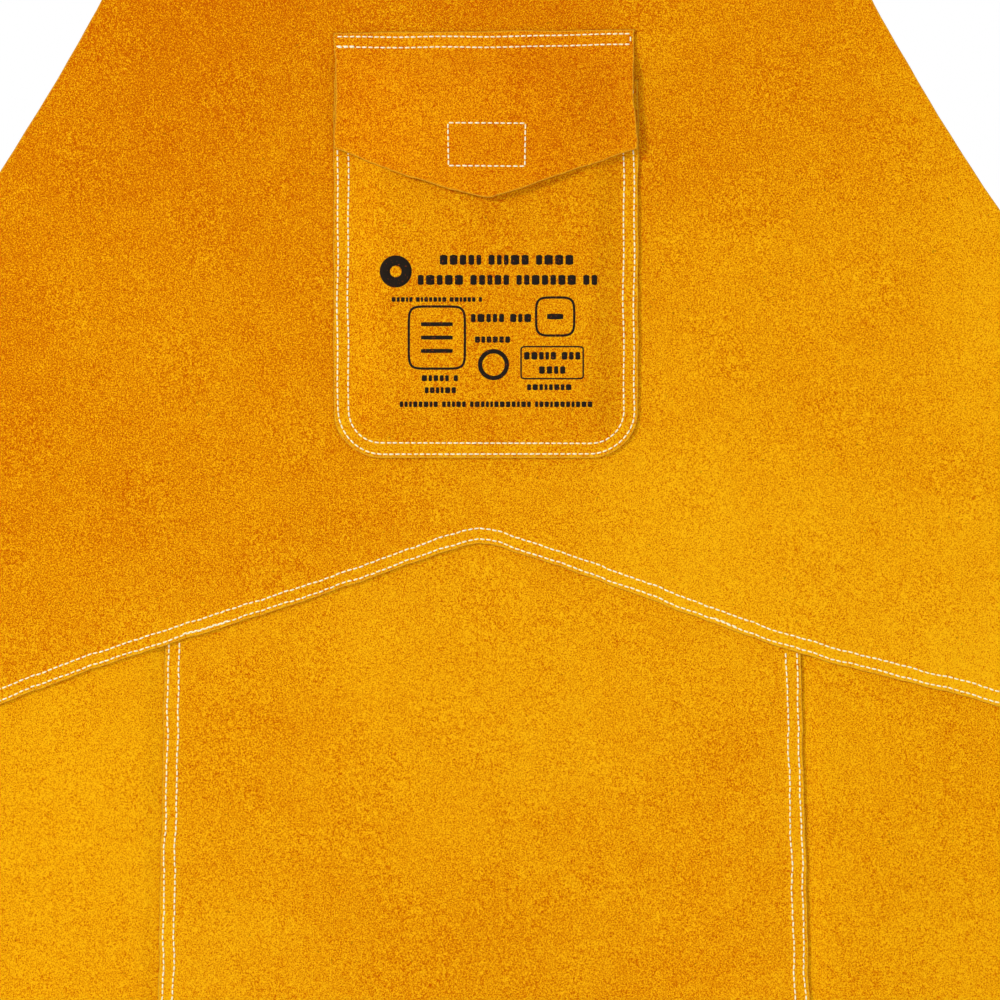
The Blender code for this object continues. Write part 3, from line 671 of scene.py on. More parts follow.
def suede(name, colours, shift, tint, pale, lean, nap_depth):
    """Split cowhide, dyed gold and brushed: dull, with a fine broken nap, soft
    clouds a hand wide where it lies light or dark, scattered pores, a paler
    raw edge and a painted shadow line on the edge's side wall. tint and pale
    are how one hide differs from the next, and lean is the way along it that
    it grows paler, by so much a metre. nap_depth is how far the fine grain
    goes from light to dark."""
    material, tree, shader = new_material(name)
    where = add(tree, "TexCoord").outputs["Object"]
    at = add(tree, "Mapping", {"Vector": where, "Location": shift}).outputs[0]
    # The real fibres are finer than the grain, and would not show at this distance
    grain = noise(tree, at, 0.74, 2, 0.5, 0.9)
    nap = noise(tree, at, 1.3, 2, 0.6, 0.8)
    layers = (
        weigh(tree, grain, 0.34, 0.66, -nap_depth, nap_depth),
        weigh(tree, nap, 0.30, 0.70, -0.08 * nap_depth, 0.08 * nap_depth),
        weigh(tree, noise(tree, at, 6, 3), 0.30, 0.70, -0.045, 0.045),
        weigh(tree, noise(tree, at, 30, 3, 0.5, 0.5), 0.30, 0.70, -0.05, 0.05),
        weigh(tree, noise(tree, at, 170, 1, 0.5, 0.4), 0.30, 0.70, -0.09, 0.09),
        # paler along lean, by so much a metre: on the bib towards its lower right
        add(tree, "VectorMath", {0: where, 1: lean}, operation="DOT_PRODUCT").outputs["Value"],
    )
    band = add(tree, "Attribute", attribute_name="band").outputs["Fac"]
    tone = weigh(tree, band, 0, 1, 0.5 + pale, 0.62 + pale)
    for layer in layers:
        tone = join(tree, "ADD", tone, layer)
    ramp = add(tree, "ValToRGB", {"Fac": tone})
    stops = ramp.color_ramp.elements
    stops[0].color, stops[1].color = rgba(colours.suede_dark), rgba(colours.suede_light)
    stops.new(0.5).color = rgba(colours.suede_mid)
    shade = mixed(tree, 1.0, ramp.outputs["Color"], rgba(linear(tint)), "MULTIPLY")
    pores = weigh(tree, noise(tree, at, 2.4, 1, 0.5), 0.74, 0.80, 0.0, 0.55)
    shade = mixed(tree, pores, shade, rgba(linear("8A4204")))
    inset = add(tree, "Attribute", attribute_name="inset").outputs["Fac"]
    shade = mixed(tree, weigh(tree, inset, 0.35, 1.2, 0.6, 0.0), shade, rgba(colours.cut_edge))
    # painted shadow: the cut edge's side wall at the rim line is darkened all round, standing in for the
    # thin shadow line along each raw edge
    shade = mixed(tree, weigh(tree, inset, 0.0, 0.3, 0.9, 0.0), shade, rgba(linear("6C4204")))
    height = join(tree, "ADD", join(tree, "MULTIPLY", grain, 0.6), nap)
    bump = add(tree, "Bump", {"Height": height, "Strength": 0.3, "Distance": 0.6 * MM})
    tree.links.new(shade, shader.inputs["Base Color"])
    tree.links.new(bump.outputs[0], shader.inputs["Normal"])
    shader.inputs["Roughness"].default_value = 0.95
    shader.inputs["Specular IOR Level"].default_value = 0.02
    return material


def cut_leather(colours):
    """The straps' knife-cut edges: pale, with the fibres of the hide end on."""
    material, tree, shader = new_material("cut_leather_edge")
    at = add(tree, "TexCoord").outputs["Object"]
    fibre = weigh(tree, noise(tree, at, 0.7, 3, 0.7), 0.35, 0.65)
    tone = mixed(tree, fibre, rgba(linear("9A6414")), rgba(colours.cut_edge))
    tree.links.new(tone, shader.inputs["Base Color"])
    shader.inputs["Roughness"].default_value = 0.95
    shader.inputs["Specular IOR Level"].default_value = 0.1
    return material


def plied_thread(colours):
    """Spun aramid thread: matt and creamy, slightly uneven in tone."""
    material, tree, shader = new_material("plied_aramid_thread")
    at = add(tree, "TexCoord").outputs["Object"]
    uneven = weigh(tree, noise(tree, at, 4, 2), 0.3, 0.7)
    pale = mixed(tree, uneven, rgba(linear("FFF8C6")), rgba(colours.thread))
    ply = noise(tree, at, 0.5, 1)
    bump = add(tree, "Bump", {"Height": ply, "Strength": 0.4, "Distance": 0.2 * MM})
    tree.links.new(pale, shader.inputs["Base Color"])
    tree.links.new(bump.outputs[0], shader.inputs["Normal"])
    shader.inputs["Roughness"].default_value = 0.75
    return material


def screen_ink(colours):
    """Screen-printed ink on suede: flat and dark, broken by the nap under it."""
    material, tree, shader = new_material("screen_printed_ink")
    at = add(tree, "TexCoord").outputs["Object"]
    broken = weigh(tree, noise(tree, at, 1.3, 2, 0.7), 0.64, 0.72)
    share = join(tree, "MULTIPLY", broken, 0.55)
    worn = mixed(tree, share, rgba(colours.ink), rgba(colours.suede_dark))
    tree.links.new(worn, shader.inputs["Base Color"])
    shader.inputs["Roughness"].default_value = 0.85
    shader.inputs["Specular IOR Level"].default_value = 0.2
    return material


def nickel_plate(colours):
    """Bright nickel on drawn steel: warm mirror gloss with faint hairlines."""
    material, tree, shader = new_material("nickel_plated_steel")
    at = add(tree, "TexCoord").outputs["Object"]
    hair = weigh(tree, noise(tree, at, 1.8, 4, 0.7), 0.3, 0.7, 0.18, 0.34)
    dull = weigh(tree, noise(tree, at, 9, 2), 0.35, 0.65)
    tone = mixed(tree, dull, rgba(linear("BDB7AA")), rgba(colours.nickel))
    tree.links.new(hair, shader.inputs["Roughness"])
    tree.links.new(tone, shader.inputs["Base Color"])
    shader.inputs["Metallic"].default_value = 1.0
    return material


def touch_tape(name, colours, grain, strength):
    """Woven nylon tape with hooks or loops standing on it: dark and matt, its
    pile as coarse as it needs to be to show, with painted shade in the hollows
    between its tufts."""
    material, tree, shader = new_material(name)
    at = add(tree, "TexCoord").outputs["Object"]
    inputs = {"Vector": at, "Scale": 1 / (grain * MM), "Randomness": 0.7}
    pile = add(tree, "TexVoronoi", inputs).outputs["Distance"]
    # painted shade: the tape darkens where the pile sinks between its tufts
    dark = tuple(0.35 * c for c in colours.tape)
    tone = mixed(tree, weigh(tree, pile, 0.1, 0.7), rgba(colours.tape), rgba(dark))
    inputs = {"Height": pile, "Strength": strength, "Distance": 0.5 * MM}
    bump = add(tree, "Bump", inputs, invert=True)
    tree.links.new(tone, shader.inputs["Base Color"])
    tree.links.new(bump.outputs[0], shader.inputs["Normal"])
    shader.inputs["Roughness"].default_value = 0.9
    return material


# Each hide: its pattern's shift in metres, its tint, how much paler it is, the
# way that it grows paler and the depth of its nap
HIDES = {
    "bib": ((0.0, 0.0, 0.0), "FFFFFF", -0.515, (0.54, 0, -0.80), 0.66),
    "centre_skirt": ((1.7, 0, 0.3), "FFFFFF", 0.15, (0, 0, 0), 0.66),
    "side_skirt": ((3.1, 0, 1.9), "FFFFF0", 0.21, (0, 0, 0), 0.66),
    "pouch": ((5.3, 0, 0.7), "FFFFFF", 0.03, (0, 0, 0), 0.66),
    "flap": ((7.9, 0, 2.2), "FFF4F0", -0.03, (0, 0, 0), 0.66),
    "strap": ((9.4, 0, 4.1), "FFF8F0", 0.05, (0, 0, 0), 0.3),
}


def make_materials(colours):
    """Every finish, in the colours that the user set."""
    for piece, facts in HIDES.items():
        MATERIALS[piece] = suede(f"suede_split_{piece}", colours, *facts)
    MATERIALS["edge"] = cut_leather(colours)
    MATERIALS["thread"] = plied_thread(colours)
    MATERIALS["ink"] = screen_ink(colours)
    MATERIALS["nickel"] = nickel_plate(colours)
    MATERIALS["loops"] = touch_tape("nylon_loop_tape", colours, 0.8, 0.6)
    MATERIALS["hooks"] = touch_tape("nylon_hook_tape", colours, 1.2, 1.0)


# Panels


class APRON_OT_panels(Operator):
    """Cut the bib, its backing pieces and the three skirt panels"""

    bl_idname = "apron.panels"
    bl_label = "Leather panels"

    def execute(self, context):
        settle(context.scene)
        bib = self.bib()
        centre = self.centre_skirt()
        for name, side in (("left", -1), ("right", 1)):
            skirt = self.side_skirt(name, side)
            self.waist_patch(name)
        self.facing()
        return {"FINISHED"}

    def bib(self):
        """Bounded by the two armholes, the top and the raw edge of the V seam."""

        def right(z):
            return armhole_half(BIB_TOP - z) + waver(z, 23, (0.05, 0.083, 0.021), 0.3 * MM)

        def left(z):
            return -armhole_half(BIB_TOP - z) + waver(z, 29, (0.05, 0.071, 0.021), 0.3 * MM)

        def top(x):
            return BIB_TOP - 0.3 * MM + waver(x, 31, (0.06, 0.023), 0.2 * MM)

        x, z = cut_panel(left, right, top, seam_z, 2.6 * MM, 6 * MM, seam_lines())
        seam = (z - seam_z(x)) * SEAM_SQUARE
        sides = np.minimum(x - left(z), right(z) - x) * ARMHOLE_SQUARE
        inset = np.minimum(sides, np.minimum(top(x) - z, seam))
        middle = BIB_Y + sway(x, z)
        obj = leather("bib_leather", x, z, middle, inset, row_dent(seam), row_band(seam))
        return dress(obj, "apron", "bib", "bib_panel")

    def centre_skirt(self):
        """Its sides are raw edges that lap over the side panels."""

        def left(z):
            return centre_edge(z, -1)

        def right(z):
            return centre_edge(z, 1)

        x, z = cut_panel(left, right, skirt_top, skirt_foot, 5 * MM, 2.6 * MM)
        sides = np.minimum(x - left(z), right(z) - x)
        inset = from_edges(x, z, left, right, skirt_top, skirt_foot)
        bands = (row_dent(sides), row_band(sides))
        obj = leather("centre_skirt_leather", x, z, CENTRE_Y + sway(x, z), inset, *bands)
        return dress(obj, "apron", "centre_skirt", "centre_skirt_panel")

    def side_skirt(self, name, side):
        """One side edge runs under the centre panel, the other is the apron's."""

        def outer(z):
            depth = np.clip(1 - (z - HEM) / HEM_CORNER, 0, 1)
            rounding = HEM_CORNER * (1 - np.sqrt(1 - depth**2))
            return side * (HALF_WIDTH - rounding) + waver(z, 41 + side, (0.09, 0.033), 0.3 * MM)

        def inner(z):
            return centre_edge(z, side) - side * LAP

        edges = (outer, inner) if side < 0 else (inner, outer)
        edges += (skirt_top, skirt_foot)
        x, z = cut_panel(*edges, 3 * MM, 5 * MM)
        middle = side_y(x, z) + sway(x, z)
        obj = leather(f"{name}_skirt_leather", x, z, middle, from_edges(x, z, *edges))
        return dress(obj, "apron", "side_skirt", f"{name}_skirt_panel", slot="suede_side")

    def backing(self, node, *edges):
        """A flat backing piece behind the bib."""
        x, z = cut_panel(*edges, 4 * MM, 4 * MM)
        middle = CENTRE_Y + sway(x, z)
        obj = leather(f"{node}_leather", x, z, middle, from_edges(x, z, *edges))
        return dress(obj, "apron", "bib", node)

    def facing(self):
        """As wide as the armholes leave, just inside their edges."""
        low, high = corners("bib_top_facing")

        def right(z):
            return armhole_half(BIB_TOP - z) - 1.5 * MM + 0 * z

        def left(z):
            return -right(z)

        def top(x):
            return high[2] + 0 * x

        def foot(x):
            return low[2] + waver(x, 43, (0.04, 0.025), 0.3 * MM)

        return self.backing("bib_top_facing", left, right, top, foot)

    def waist_patch(self, name):
        """A rectangle, from the box of its node."""
        low, high = corners(f"waist_patch_{name}")

        def bound(value):
            return lambda place: value + 0 * place

        edges = (bound(place) for place in (low[0], high[0], high[2], low[2]))
        return self.backing(f"waist_patch_{name}", *edges)


# Pocket

# The printed marks on the pouch. Lines of small blocks: the left and right end
# and the height in metres, the blocks' own height in mm, and a seed for their widths
PRINTED_LINES = (
    (-0.0282, 0.0516, -0.6403, 6.0, 5),
    (-0.0414, 0.0660, -0.6523, 6.0, 8),
    (-0.0570, -0.0030, -0.6640, 2.8, 4),
    (-0.0096, 0.0264, -0.6751, 5.0, 12),
    (-0.0072, 0.0138, -0.6880, 3.8, 14),
    (0.0222, 0.0558, -0.6977, 4.6, 15),
    (0.0312, 0.0468, -0.7062, 4.6, 16),
    (-0.0390, -0.0174, -0.7111, 3.6, 17),
    (-0.0372, -0.0186, -0.7183, 3.6, 18),
    (0.0240, 0.0504, -0.7165, 3.6, 19),
    (-0.0522, 0.0630, -0.7267, 3.4, 22),
)
# Frames, the first of them a round badge: the middle in metres, half the width and
# height in mm, the power that squares their corners, and the line's width in mm
PRINTED_FRAMES = (
    (-0.0546, -0.6472, 6.528, 6.528, 1.0, 6.144),
    (-0.0300, -0.6868, 16.8, 18.6, 0.30, 1.4),
    (0.0408, -0.6742, 11.4, 11.4, 0.45, 1.4),
    (0.0039, -0.7030, 8.0, 8.0, 1.0, 2.6),
    (0.0390, -0.7018, 18.6, 9.6, 0.12, 0.9),
)
# Level bars inside the frames: both ends and the height in metres, the width in mm
PRINTED_BARS = (
    (-0.0395, -0.0205, -0.6948, 2.4),
    (-0.0395, -0.0205, -0.6868, 2.4),
    (-0.0395, -0.0205, -0.6788, 2.4),
    (0.0360, 0.0456, -0.6742, 3.4),
)


class APRON_OT_pocket(Operator):
    """Shape the pouch, its flap, the tape patches and the printed marks"""

    bl_idname = "apron.pocket"
    bl_label = "Pocket"

    def execute(self, context):
        settle(context.scene)
        self.pouch()
        self.flap()
        self.tape("loop_tape_patch", "pocket_loop_patch", "apron", "loops")
        self.tape("hook_tape_patch", "flap_hook_patch", "flap", "hooks")
        self.marks()
        return {"FINISHED"}

    def pouch(self):
        """Rows run down to the corner arc and then step round it by equal angles,
        so each row's half width follows the arc."""
        half, low, r = POUCH_HIGH[0], POUCH_LOW[2], POUCH_CORNER
        angles = np.radians(np.arange(0, 91, 5))
        top = POUCH_HIGH[2]
        upper = lines(top - low - r, 4 * MM, EDGE_LINES, np.array([0, 3 * MM]))
        z = np.concatenate([top - upper[:-1], low + r * (1 - np.sin(angles))])
        width = np.concatenate([np.full(len(upper) - 1, half), half - r * (1 - np.cos(angles))])
        near = np.concatenate([seam_lines(), np.array([20, 24, 28]) * MM])
        t = 2 * lines(2 * half, 4 * MM, near, near) / (2 * half) - 1
        x, z = POUCH_SHIFT + t[None] * width[:, None], z[:, None] + 0 * t[None]
        inset = pouch_inset(x, z)
        stray = waver(z, 47, (0.06, 0.027), 0.35 * MM) + waver(x, 49, (0.05, 0.02), 0.2 * MM)
        middle = pouch_front(x, z) + LEATHER / 2
        bands = (row_dent(inset), row_band(inset))
        edge = np.minimum(inset, top - z)
        obj = leather("pocket_pouch_leather", x + stray * np.sign(x), z, middle, edge, *bands)
        dress(obj, "apron", "pouch", "pocket_pouch")

    def flap(self):
        """One piece of leather from its sewn heading to its point."""

        def left(z):
            return flap_side(z, -1)

        def right(z):
            return flap_side(z, 1)

        def top(x):
            return heading_top(x) + waver(x, 53, (0.07, 0.04), 0.3 * MM)

        x, z = cut_panel(left, right, top, flap_foot, 2.5 * MM, 2.5 * MM)
        foot = (z - flap_foot(x)) * FLAP_SQUARE
        inset = np.minimum(np.minimum(x - left(z), right(z) - x), np.minimum(top(x) - z, foot))
        heading = top(x) - z
        middle = flap_middle(x, z)
        bands = (row_dent(heading), 0.8 * row_band(heading))
        obj = leather("pocket_flap_leather", x, z, middle, inset, *bands)
        obj.data.materials.append(MATERIALS["flap"])
        fold, folded = (0, 0, HEADING_LOW[2]), (0, 0, HEADING_LOW[2] - 7 * MM)
        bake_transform(obj, "apron", "flap", start=fold, end=folded)
        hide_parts("flap_heading", "pocket_flap")

    def tape(self, name, node, body, kind):
        """A patch of tape with slightly ragged pile."""
        low, high = corners(node)
        x, z = np.meshgrid(
            low[0] + lines(high[0] - low[0], 1.5 * MM),
            high[2] - lines(high[2] - low[2], 1.5 * MM),
        )
        pile = waver(x, 59, (0.0031, 0.0047), 0.10 * MM) * waver(z, 61, (0.0037, 0.0023), 1)
        middle = (low[1] + high[1]) / 2 + sway(x, z)
        inset = np.full_like(x, DEEP * MM)
        obj = leather(name, x, z, middle, inset, dent=pile, thickness=high[1] - low[1])
        dress(obj, body, kind, node, slot="tape")

    def marks(self):
        """Plain printed marks: lines of blocks, frames and bars, each a strip of ink
        laid along a path on the pouch's front."""
        strips = []

        def bar(x0, x1, z, width):
            """A straight level mark."""
            ends = np.linspace(x0, x1, max(4, round((x1 - x0) / (2 * MM))))
            strips.append((np.stack([ends, z + 0 * ends], -1), width, False))

        def words(x0, x1, z, tall, seed):
            """A line of small plain blocks of uneven width, in groups."""
            rng = np.random.default_rng(seed)
            places, x, group = [], 0.0, 0
            while x < x1 - x0 - 0.4 * tall:
                wide = tall * rng.uniform(0.45, 0.85)
                places.append((x, wide))
                group += 1
                ended = group > 4 and rng.random() < 0.4
                x += wide + tall * (0.75 if ended else 0.24)
                group = 0 if ended else group
            scale = (x1 - x0) / (places[-1][0] + places[-1][1])
            for start, wide in places:
                left = x0 + start * scale
                bar(left, left + wide * scale, z, tall)

        def loop(cx, cz, half_wide, half_tall, power, width):
            """A closed frame: a superellipse, from a ring to a rounded square."""
            a = np.arange(72) / 72 * 2 * np.pi
            c, s = np.cos(a), np.sin(a)
            x = cx + half_wide * np.sign(c) * np.abs(c) ** power
            z = cz + half_tall * np.sign(s) * np.abs(s) ** power
            strips.append((np.stack([x, z], -1), width, True))

        for left, right, z, tall, seed in PRINTED_LINES:
            words(left, right, z, tall * MM, seed)
        for x, z, half_wide, half_tall, power, width in PRINTED_FRAMES:
            loop(x, z, half_wide * MM, half_tall * MM, power, width * MM)
        for left, right, z, width in PRINTED_BARS:
            bar(left, right, z, width * MM)
        points, faces, count = [], [], 0
        for path, width, closed in strips:
            made, quads = ink_strip(path, width, closed)
            points.append(made)
            faces.append(quads + count)
            count += len(made)
        obj = add_mesh("printed_marks", np.concatenate(points), np.concatenate(faces))
        dress(obj, "apron", "ink")


def pouch_sewn_front(x, z):
    """The pouch's front, drawn in at its rows."""
    return pouch_front(x, z) + row_dent(pouch_inset(x, z))


def ink_strip(path, width, closed):
    """A strip of ink along a path of x and z: its front a hair above the pouch,
    its back just under the surface, its ends narrowed."""
    if closed:
        ahead = np.roll(path, -1, axis=0) - np.roll(path, 1, axis=0)
    else:
        ahead = np.gradient(path, axis=0)
    ahead /= np.linalg.norm(ahead, axis=1)[:, None]
    across = np.stack([-ahead[:, 1], ahead[:, 0]], -1)
    t = np.linspace(0, 1, len(path))
    narrow = np.clip(np.minimum(t, 1 - t) * len(path) + 0.82, 0, 1)
    taper = np.ones(len(path)) if closed else narrow
    lanes = np.linspace(-0.5, 0.5, 4)
    flat = path[:, None] + across[:, None] * (lanes[:, None] * width * taper[:, None, None])
    x, z = flat[..., 0], flat[..., 1]
    y = pouch_sewn_front(x, z)
    sheets = [np.stack([x, y + off, z], -1) for off in (-0.07 * MM, 0.10 * MM)]
    ring = np.concatenate([sheets[0], sheets[1][:, ::-1]], axis=1)
    rows, columns = ring.shape[:2]
    k = np.arange(rows * columns).reshape(rows, columns)
    quads = ring_quads(k, closed)
    points = ring.reshape(-1, 3)
    if not closed:
        caps = []
        for row, turn in ((k[0], 1), (k[-1], -1)):
            for a in range(3):
                caps.append(np.array([row[a], row[7 - a], row[6 - a], row[a + 1]])[::turn])
        quads = np.concatenate([quads, caps])
    return points, outward(points, quads)


# Stitching


def bib_front(x, z):
    """The bib's front face, drawn in at the V seam's rows."""
    distance = (z - seam_z(x)) * SEAM_SQUARE
    return BIB_Y - LEATHER / 2 + sway(x, z) + row_dent(distance)


def centre_front(x, z):
    """The centre panel's front face, drawn in at its side rows."""
    side = np.where(x < 0, -1, 1)
    return CENTRE_Y - LEATHER / 2 + sway(x, z) + row_dent((centre_edge(z, side) - x) * side)


def skirt_back(x, z):
    """The rearmost leather behind the seams."""
    side = np.where(x < 0, -1, 1)
    over = (centre_edge(z, side) - side * LAP - x) * side
    behind = np.where(over > 0, CENTRE_Y, side_y(x, z))
    return behind + LEATHER / 2 + sway(x, z)


def bib_back(x, z):
    """The bib's back face."""
    return BIB_Y + LEATHER / 2 + sway(x, z)


def facing_back(x, z):
    """The back face of the facing behind the bib's top."""
    return CENTRE_Y + LEATHER / 2 + sway(x, z)


class APRON_OT_stitching(Operator):
    """Sew every seam with separate stitches of thread, front and back"""

    bl_idname = "apron.stitching"
    bl_label = "Stitching"

    def execute(self, context):
        settle(context.scene)
        rows = seam_rows()
        self.v_seam(rows)
        self.side_seams(rows)
        self.pocket_seam(rows)
        self.flap_heading(rows)
        self.tape_squares()
        self.facing_rows()
        return {"FINISHED"}

    def v_seam(self, rows):
        """Both rows follow the raw edge; the lower one is sewn over twice in two
        short stretches where the thread was locked."""

        def height(x, number):
            stray = waver(x, 67 + number, (0.12, 0.045), 0.35 * MM)
            return seam_z(x) + rows[number] / SEAM_SQUARE + stray

        x = np.linspace(-HALF_WIDTH + 3 * MM, HALF_WIDTH - 3 * MM, 600)
        paths = []
        for number in range(len(rows)):
            paths += both_faces(x, height(x, number), bib_front, skirt_back)
        for start, end in LOCKED_STRETCHES:
            x = np.linspace(start, end, 40)
            paths.append(front_row(x, height(x, 0) + 0.45 * MM, bib_front))
        stitching("v_seam_stitches", paths, "apron", 2)

    def side_seams(self, rows):
        """Two rows down each side of the centre panel, from under the bib's edge."""
        paths = []
        for side in (-1, 1):
            for number, row in enumerate(rows):
                top = seam_z(np.array([side * CENTRE_TOP_HALF]))[0] + 1.5 * MM
                z = np.linspace(top, HEM + 4 * MM, 500)
                x = centre_edge(z, side) - side * row
                x = x + waver(z, 71 + number + side, (0.13, 0.05), 0.35 * MM)
                paths += both_faces(x, z, centre_front, skirt_back)
        stitching("side_seam_stitches", paths, "apron", 3)

    def pocket_seam(self, rows):
        """Down one side, round both corners and up the other, inset by each row."""
        paths = []
        half, low, r = POUCH_HIGH[0], POUCH_LOW[2], POUCH_CORNER
        for number, row in enumerate(rows):
            turn = np.radians(np.arange(0, 91, 5))
            side_z = np.linspace(POUCH_HIGH[2] - 1.5 * MM, low + r, 60)
            corner_x = half - r + (r - row) * np.cos(turn)
            corner_z = low + r - (r - row) * np.sin(turn)
            x = np.concatenate([np.full(60, half - row), corner_x[1:]])
            z = np.concatenate([side_z, corner_z[1:]])
            x, z = np.concatenate([x, -x[::-1]]), np.concatenate([z, z[::-1]])
            closing = 0.012 * smooth((z - POUCH_HIGH[2]) / (60 * MM) + 1)  # towards the top
            x = x * (1 - closing)
            x = x + POUCH_SHIFT + waver(z, 79 + number, (0.11, 0.05), 0.45 * MM)
            z = z + waver(x, 81 + number, (0.09, 0.04), 0.3 * MM) * (z < low + 2 * r)
            paths += both_faces(x, z, pouch_sewn_front, bib_back)
        stitching("pocket_seam_stitches", paths, "apron", 4)

    def flap_heading(self, rows):
        """Two rows across the heading, joined by a short run at the right end, and
        a short stretch sewn twice at the left end."""
        paths = []
        x = np.linspace(-FLAP_HIGH[0] + 0.5 * MM, FLAP_HIGH[0] - 4.5 * MM, 200)

        def height(px, row):
            bow = -0.9 * MM * np.cos(np.pi * px / (2 * FLAP_HIGH[0]))
            return heading_top(px) + bow - row + waver(px, 89, (0.08, 0.05), 0.3 * MM)

        def on_heading(px, pz):
            return flap_middle(px, pz) - LEATHER / 2 + row_dent(heading_top(px) - pz)

        for row in rows:
            paths += both_faces(x, height(x, row), on_heading, bib_back)
        ends = height(np.array([x[-1], x[-1]]), np.array(rows))
        z = np.linspace(ends[0] - 1 * MM, ends[1] + 1 * MM, 20)
        paths.append(front_row(x[-1] + 0 * z, z, on_heading))
        x = np.linspace(x[0] - 1 * MM, x[0] + 11 * MM, 20)
        paths.append(front_row(x, height(x, rows[1]) + 0.5 * MM, on_heading))
        stitching("flap_heading_stitches", paths, "apron", 5)

    def square(self, node, surface):
        """A closed square of stitching just inside a patch of tape."""
        low, high = corners(node)
        inside = 2 * MM
        x0, x1 = low[0] + inside, high[0] - inside
        z0, z1 = low[2] + inside, high[2] - inside
        lean = 0.35 * MM
        ends = np.array([(x0 - lean, z1), (x1, z1 - lean), (x1 - lean, z0), (x0, z0 + lean)])
        t = np.linspace(0, 1, 60)[:, None]
        paths = []
        for start, end in zip(ends, np.roll(ends, -1, axis=0)):
            x, z = (start + (end - start) * t).T
            paths.append(front_row(x, z, surface))
        return paths

    def tape_squares(self):
        """One square on the flap, and one on the loop tape behind it."""
        def on_flap(x, z):
            return flap_middle(x, z) - LEATHER / 2

        def on_loops(x, z):
            return corners("pocket_loop_patch")[0][1] + sway(x, z)

        stitching("hook_tape_stitches", self.square("flap_hook_patch", on_flap), "flap", 6)
        stitching("loop_tape_stitches", self.square("pocket_loop_patch", on_loops), "apron", 7)

    def facing_rows(self):
        """One row along the bib's top edge and one along the facing's foot."""
        low, _ = corners("bib_top_facing")
        paths = []
        stops = [-BIB_TOP_HALF + 6 * MM]
        for side in ("left", "right"):
            tab_low, tab_high = corners(f"neck_tab_{side}")
            stops += [tab_low[0] - 1 * MM, tab_high[0] + 1 * MM]
        stops.append(BIB_TOP_HALF - 6 * MM)
        for drop in (4 * MM, BIB_TOP - low[2] - 3 * MM):
            for start, end in zip(stops[::2], stops[1::2]):
                x = np.linspace(start, end, 80)
                z = BIB_TOP - drop + waver(x, 97, (0.08, 0.03), 0.25 * MM)
                paths += both_faces(x, z, bib_front, facing_back)
        stitching("bib_top_stitches", paths, "apron", 8)


# Straps


def refined(node, name, body, kind, slot, width):
    """A copy of a node's mesh with its doubles merged, its flat faces joined and
    its edges rounded by a Bevel. Faces narrower than the leather is thick, by
    area over half the perimeter, are its cut edges."""
    source = next(o for o in bpy.data.objects if o.name == node)
    shape = bmesh.new()
    shape.from_mesh(source.data)
    bmesh.ops.remove_doubles(shape, verts=shape.verts, dist=1e-6)
    bmesh.ops.dissolve_limit(
        shape, angle_limit=math.radians(0.5), verts=shape.verts, edges=shape.edges
    )
    narrow = LEATHER + 0.5 * MM
    for face in shape.faces:
        half_round = sum(edge.calc_length() for edge in face.edges) / 2
        face.material_index = int(face.calc_area() < narrow * half_round)
        face.smooth = True
    mesh = bpy.data.meshes.new(name)
    shape.to_mesh(mesh)
    shape.free()
    obj = bpy.data.objects.new(name, mesh)
    bpy.context.scene.collection.objects.link(obj)
    bevel = obj.modifiers.new("rounded_edges", "BEVEL")
    bevel.width = width
    bevel.segments = 2
    bevel.limit_method = "ANGLE"
    bevel.angle_limit = math.radians(50)
    bevel.harden_normals = True
    dress(obj, body, kind, node, slot=slot)
    obj.data.materials.append(MATERIALS["edge"])
    add_value(obj, "inset", DEEP)
    return obj


class APRON_OT_straps(Operator):
    """Finish the straps, tabs and keepers"""

    bl_idname = "apron.straps"
    bl_label = "Straps and tabs"

    def execute(self, context):
        settle(context.scene)
        pieces = {
            "neck_strap_long": "neck_loop",
            "neck_strap_short": "neck_loop",
            "neck_keeper": "neck_keeper",
            "neck_tab_left": "apron",
            "neck_tab_right": "apron",
            "waist_tab_left": "apron",
            "waist_tab_right": "apron",
            "waist_strap_left": "waist_strap_left",
            "waist_strap_right": "waist_strap_right",
            "waist_keeper": "waist_keeper",
        }
        for node, body in pieces.items():
            soft = 0.6 * MM if "keeper" in node else 0.35 * MM
            refined(node, f"{node}_leather", body, "strap", "strap_suede", soft)
        return {"FINISHED"}


# Metalwork

BUCKLE_LENGTH = 20 * MM  # from the heel bar to the roller


def swept(name, path, radius, closed, sides=16):
    """A round wire: a circle carried along a path that lies in one plane. The
    circle's axes are the plane's normal and the cross of it with the path's
    direction. An open end is closed by a small dome."""
    path = np.asarray(path, float)
    if closed:
        ahead = np.roll(path, -1, axis=0) - np.roll(path, 1, axis=0)
    else:
        ahead = np.gradient(path, axis=0)
    ahead /= np.linalg.norm(ahead, axis=1)[:, None]
    spread = path - path.mean(axis=0)
    normal = np.linalg.svd(spread, full_matrices=False)[2][2]
    beside = np.cross(ahead, normal)
    girth = np.full(len(path), radius)
    if not closed:
        dome, reach = np.array([0.35, 0.75, 0.94]), np.array([[0.94], [0.66], [0.34]])
        first = path[0] - ahead[0] * radius * reach
        last = path[-1] + ahead[-1] * radius * reach[::-1]
        path = np.concatenate([first, path, last])
        beside = np.concatenate([beside[[0] * 3], beside, beside[[-1] * 3]])
        girth = np.concatenate([dome * radius, girth, dome[::-1] * radius])
    angles = np.arange(sides) / sides * 2 * np.pi
    circle = (
        beside[:, None] * np.cos(angles)[:, None] + normal * np.sin(angles)[:, None]
    ) * girth[:, None, None]
    points = (path[:, None] + circle).reshape(-1, 3)
    k = np.arange(len(points)).reshape(-1, sides)
    quads = ring_quads(k, closed)
    good = outward(points, quads)
    faces = list(good)
    if not closed:
        flipped = not np.array_equal(good, quads)
        faces += [k[0] if flipped else k[0][::-1], k[-1][::-1] if flipped else k[-1]]
    return add_mesh(name, points, faces)


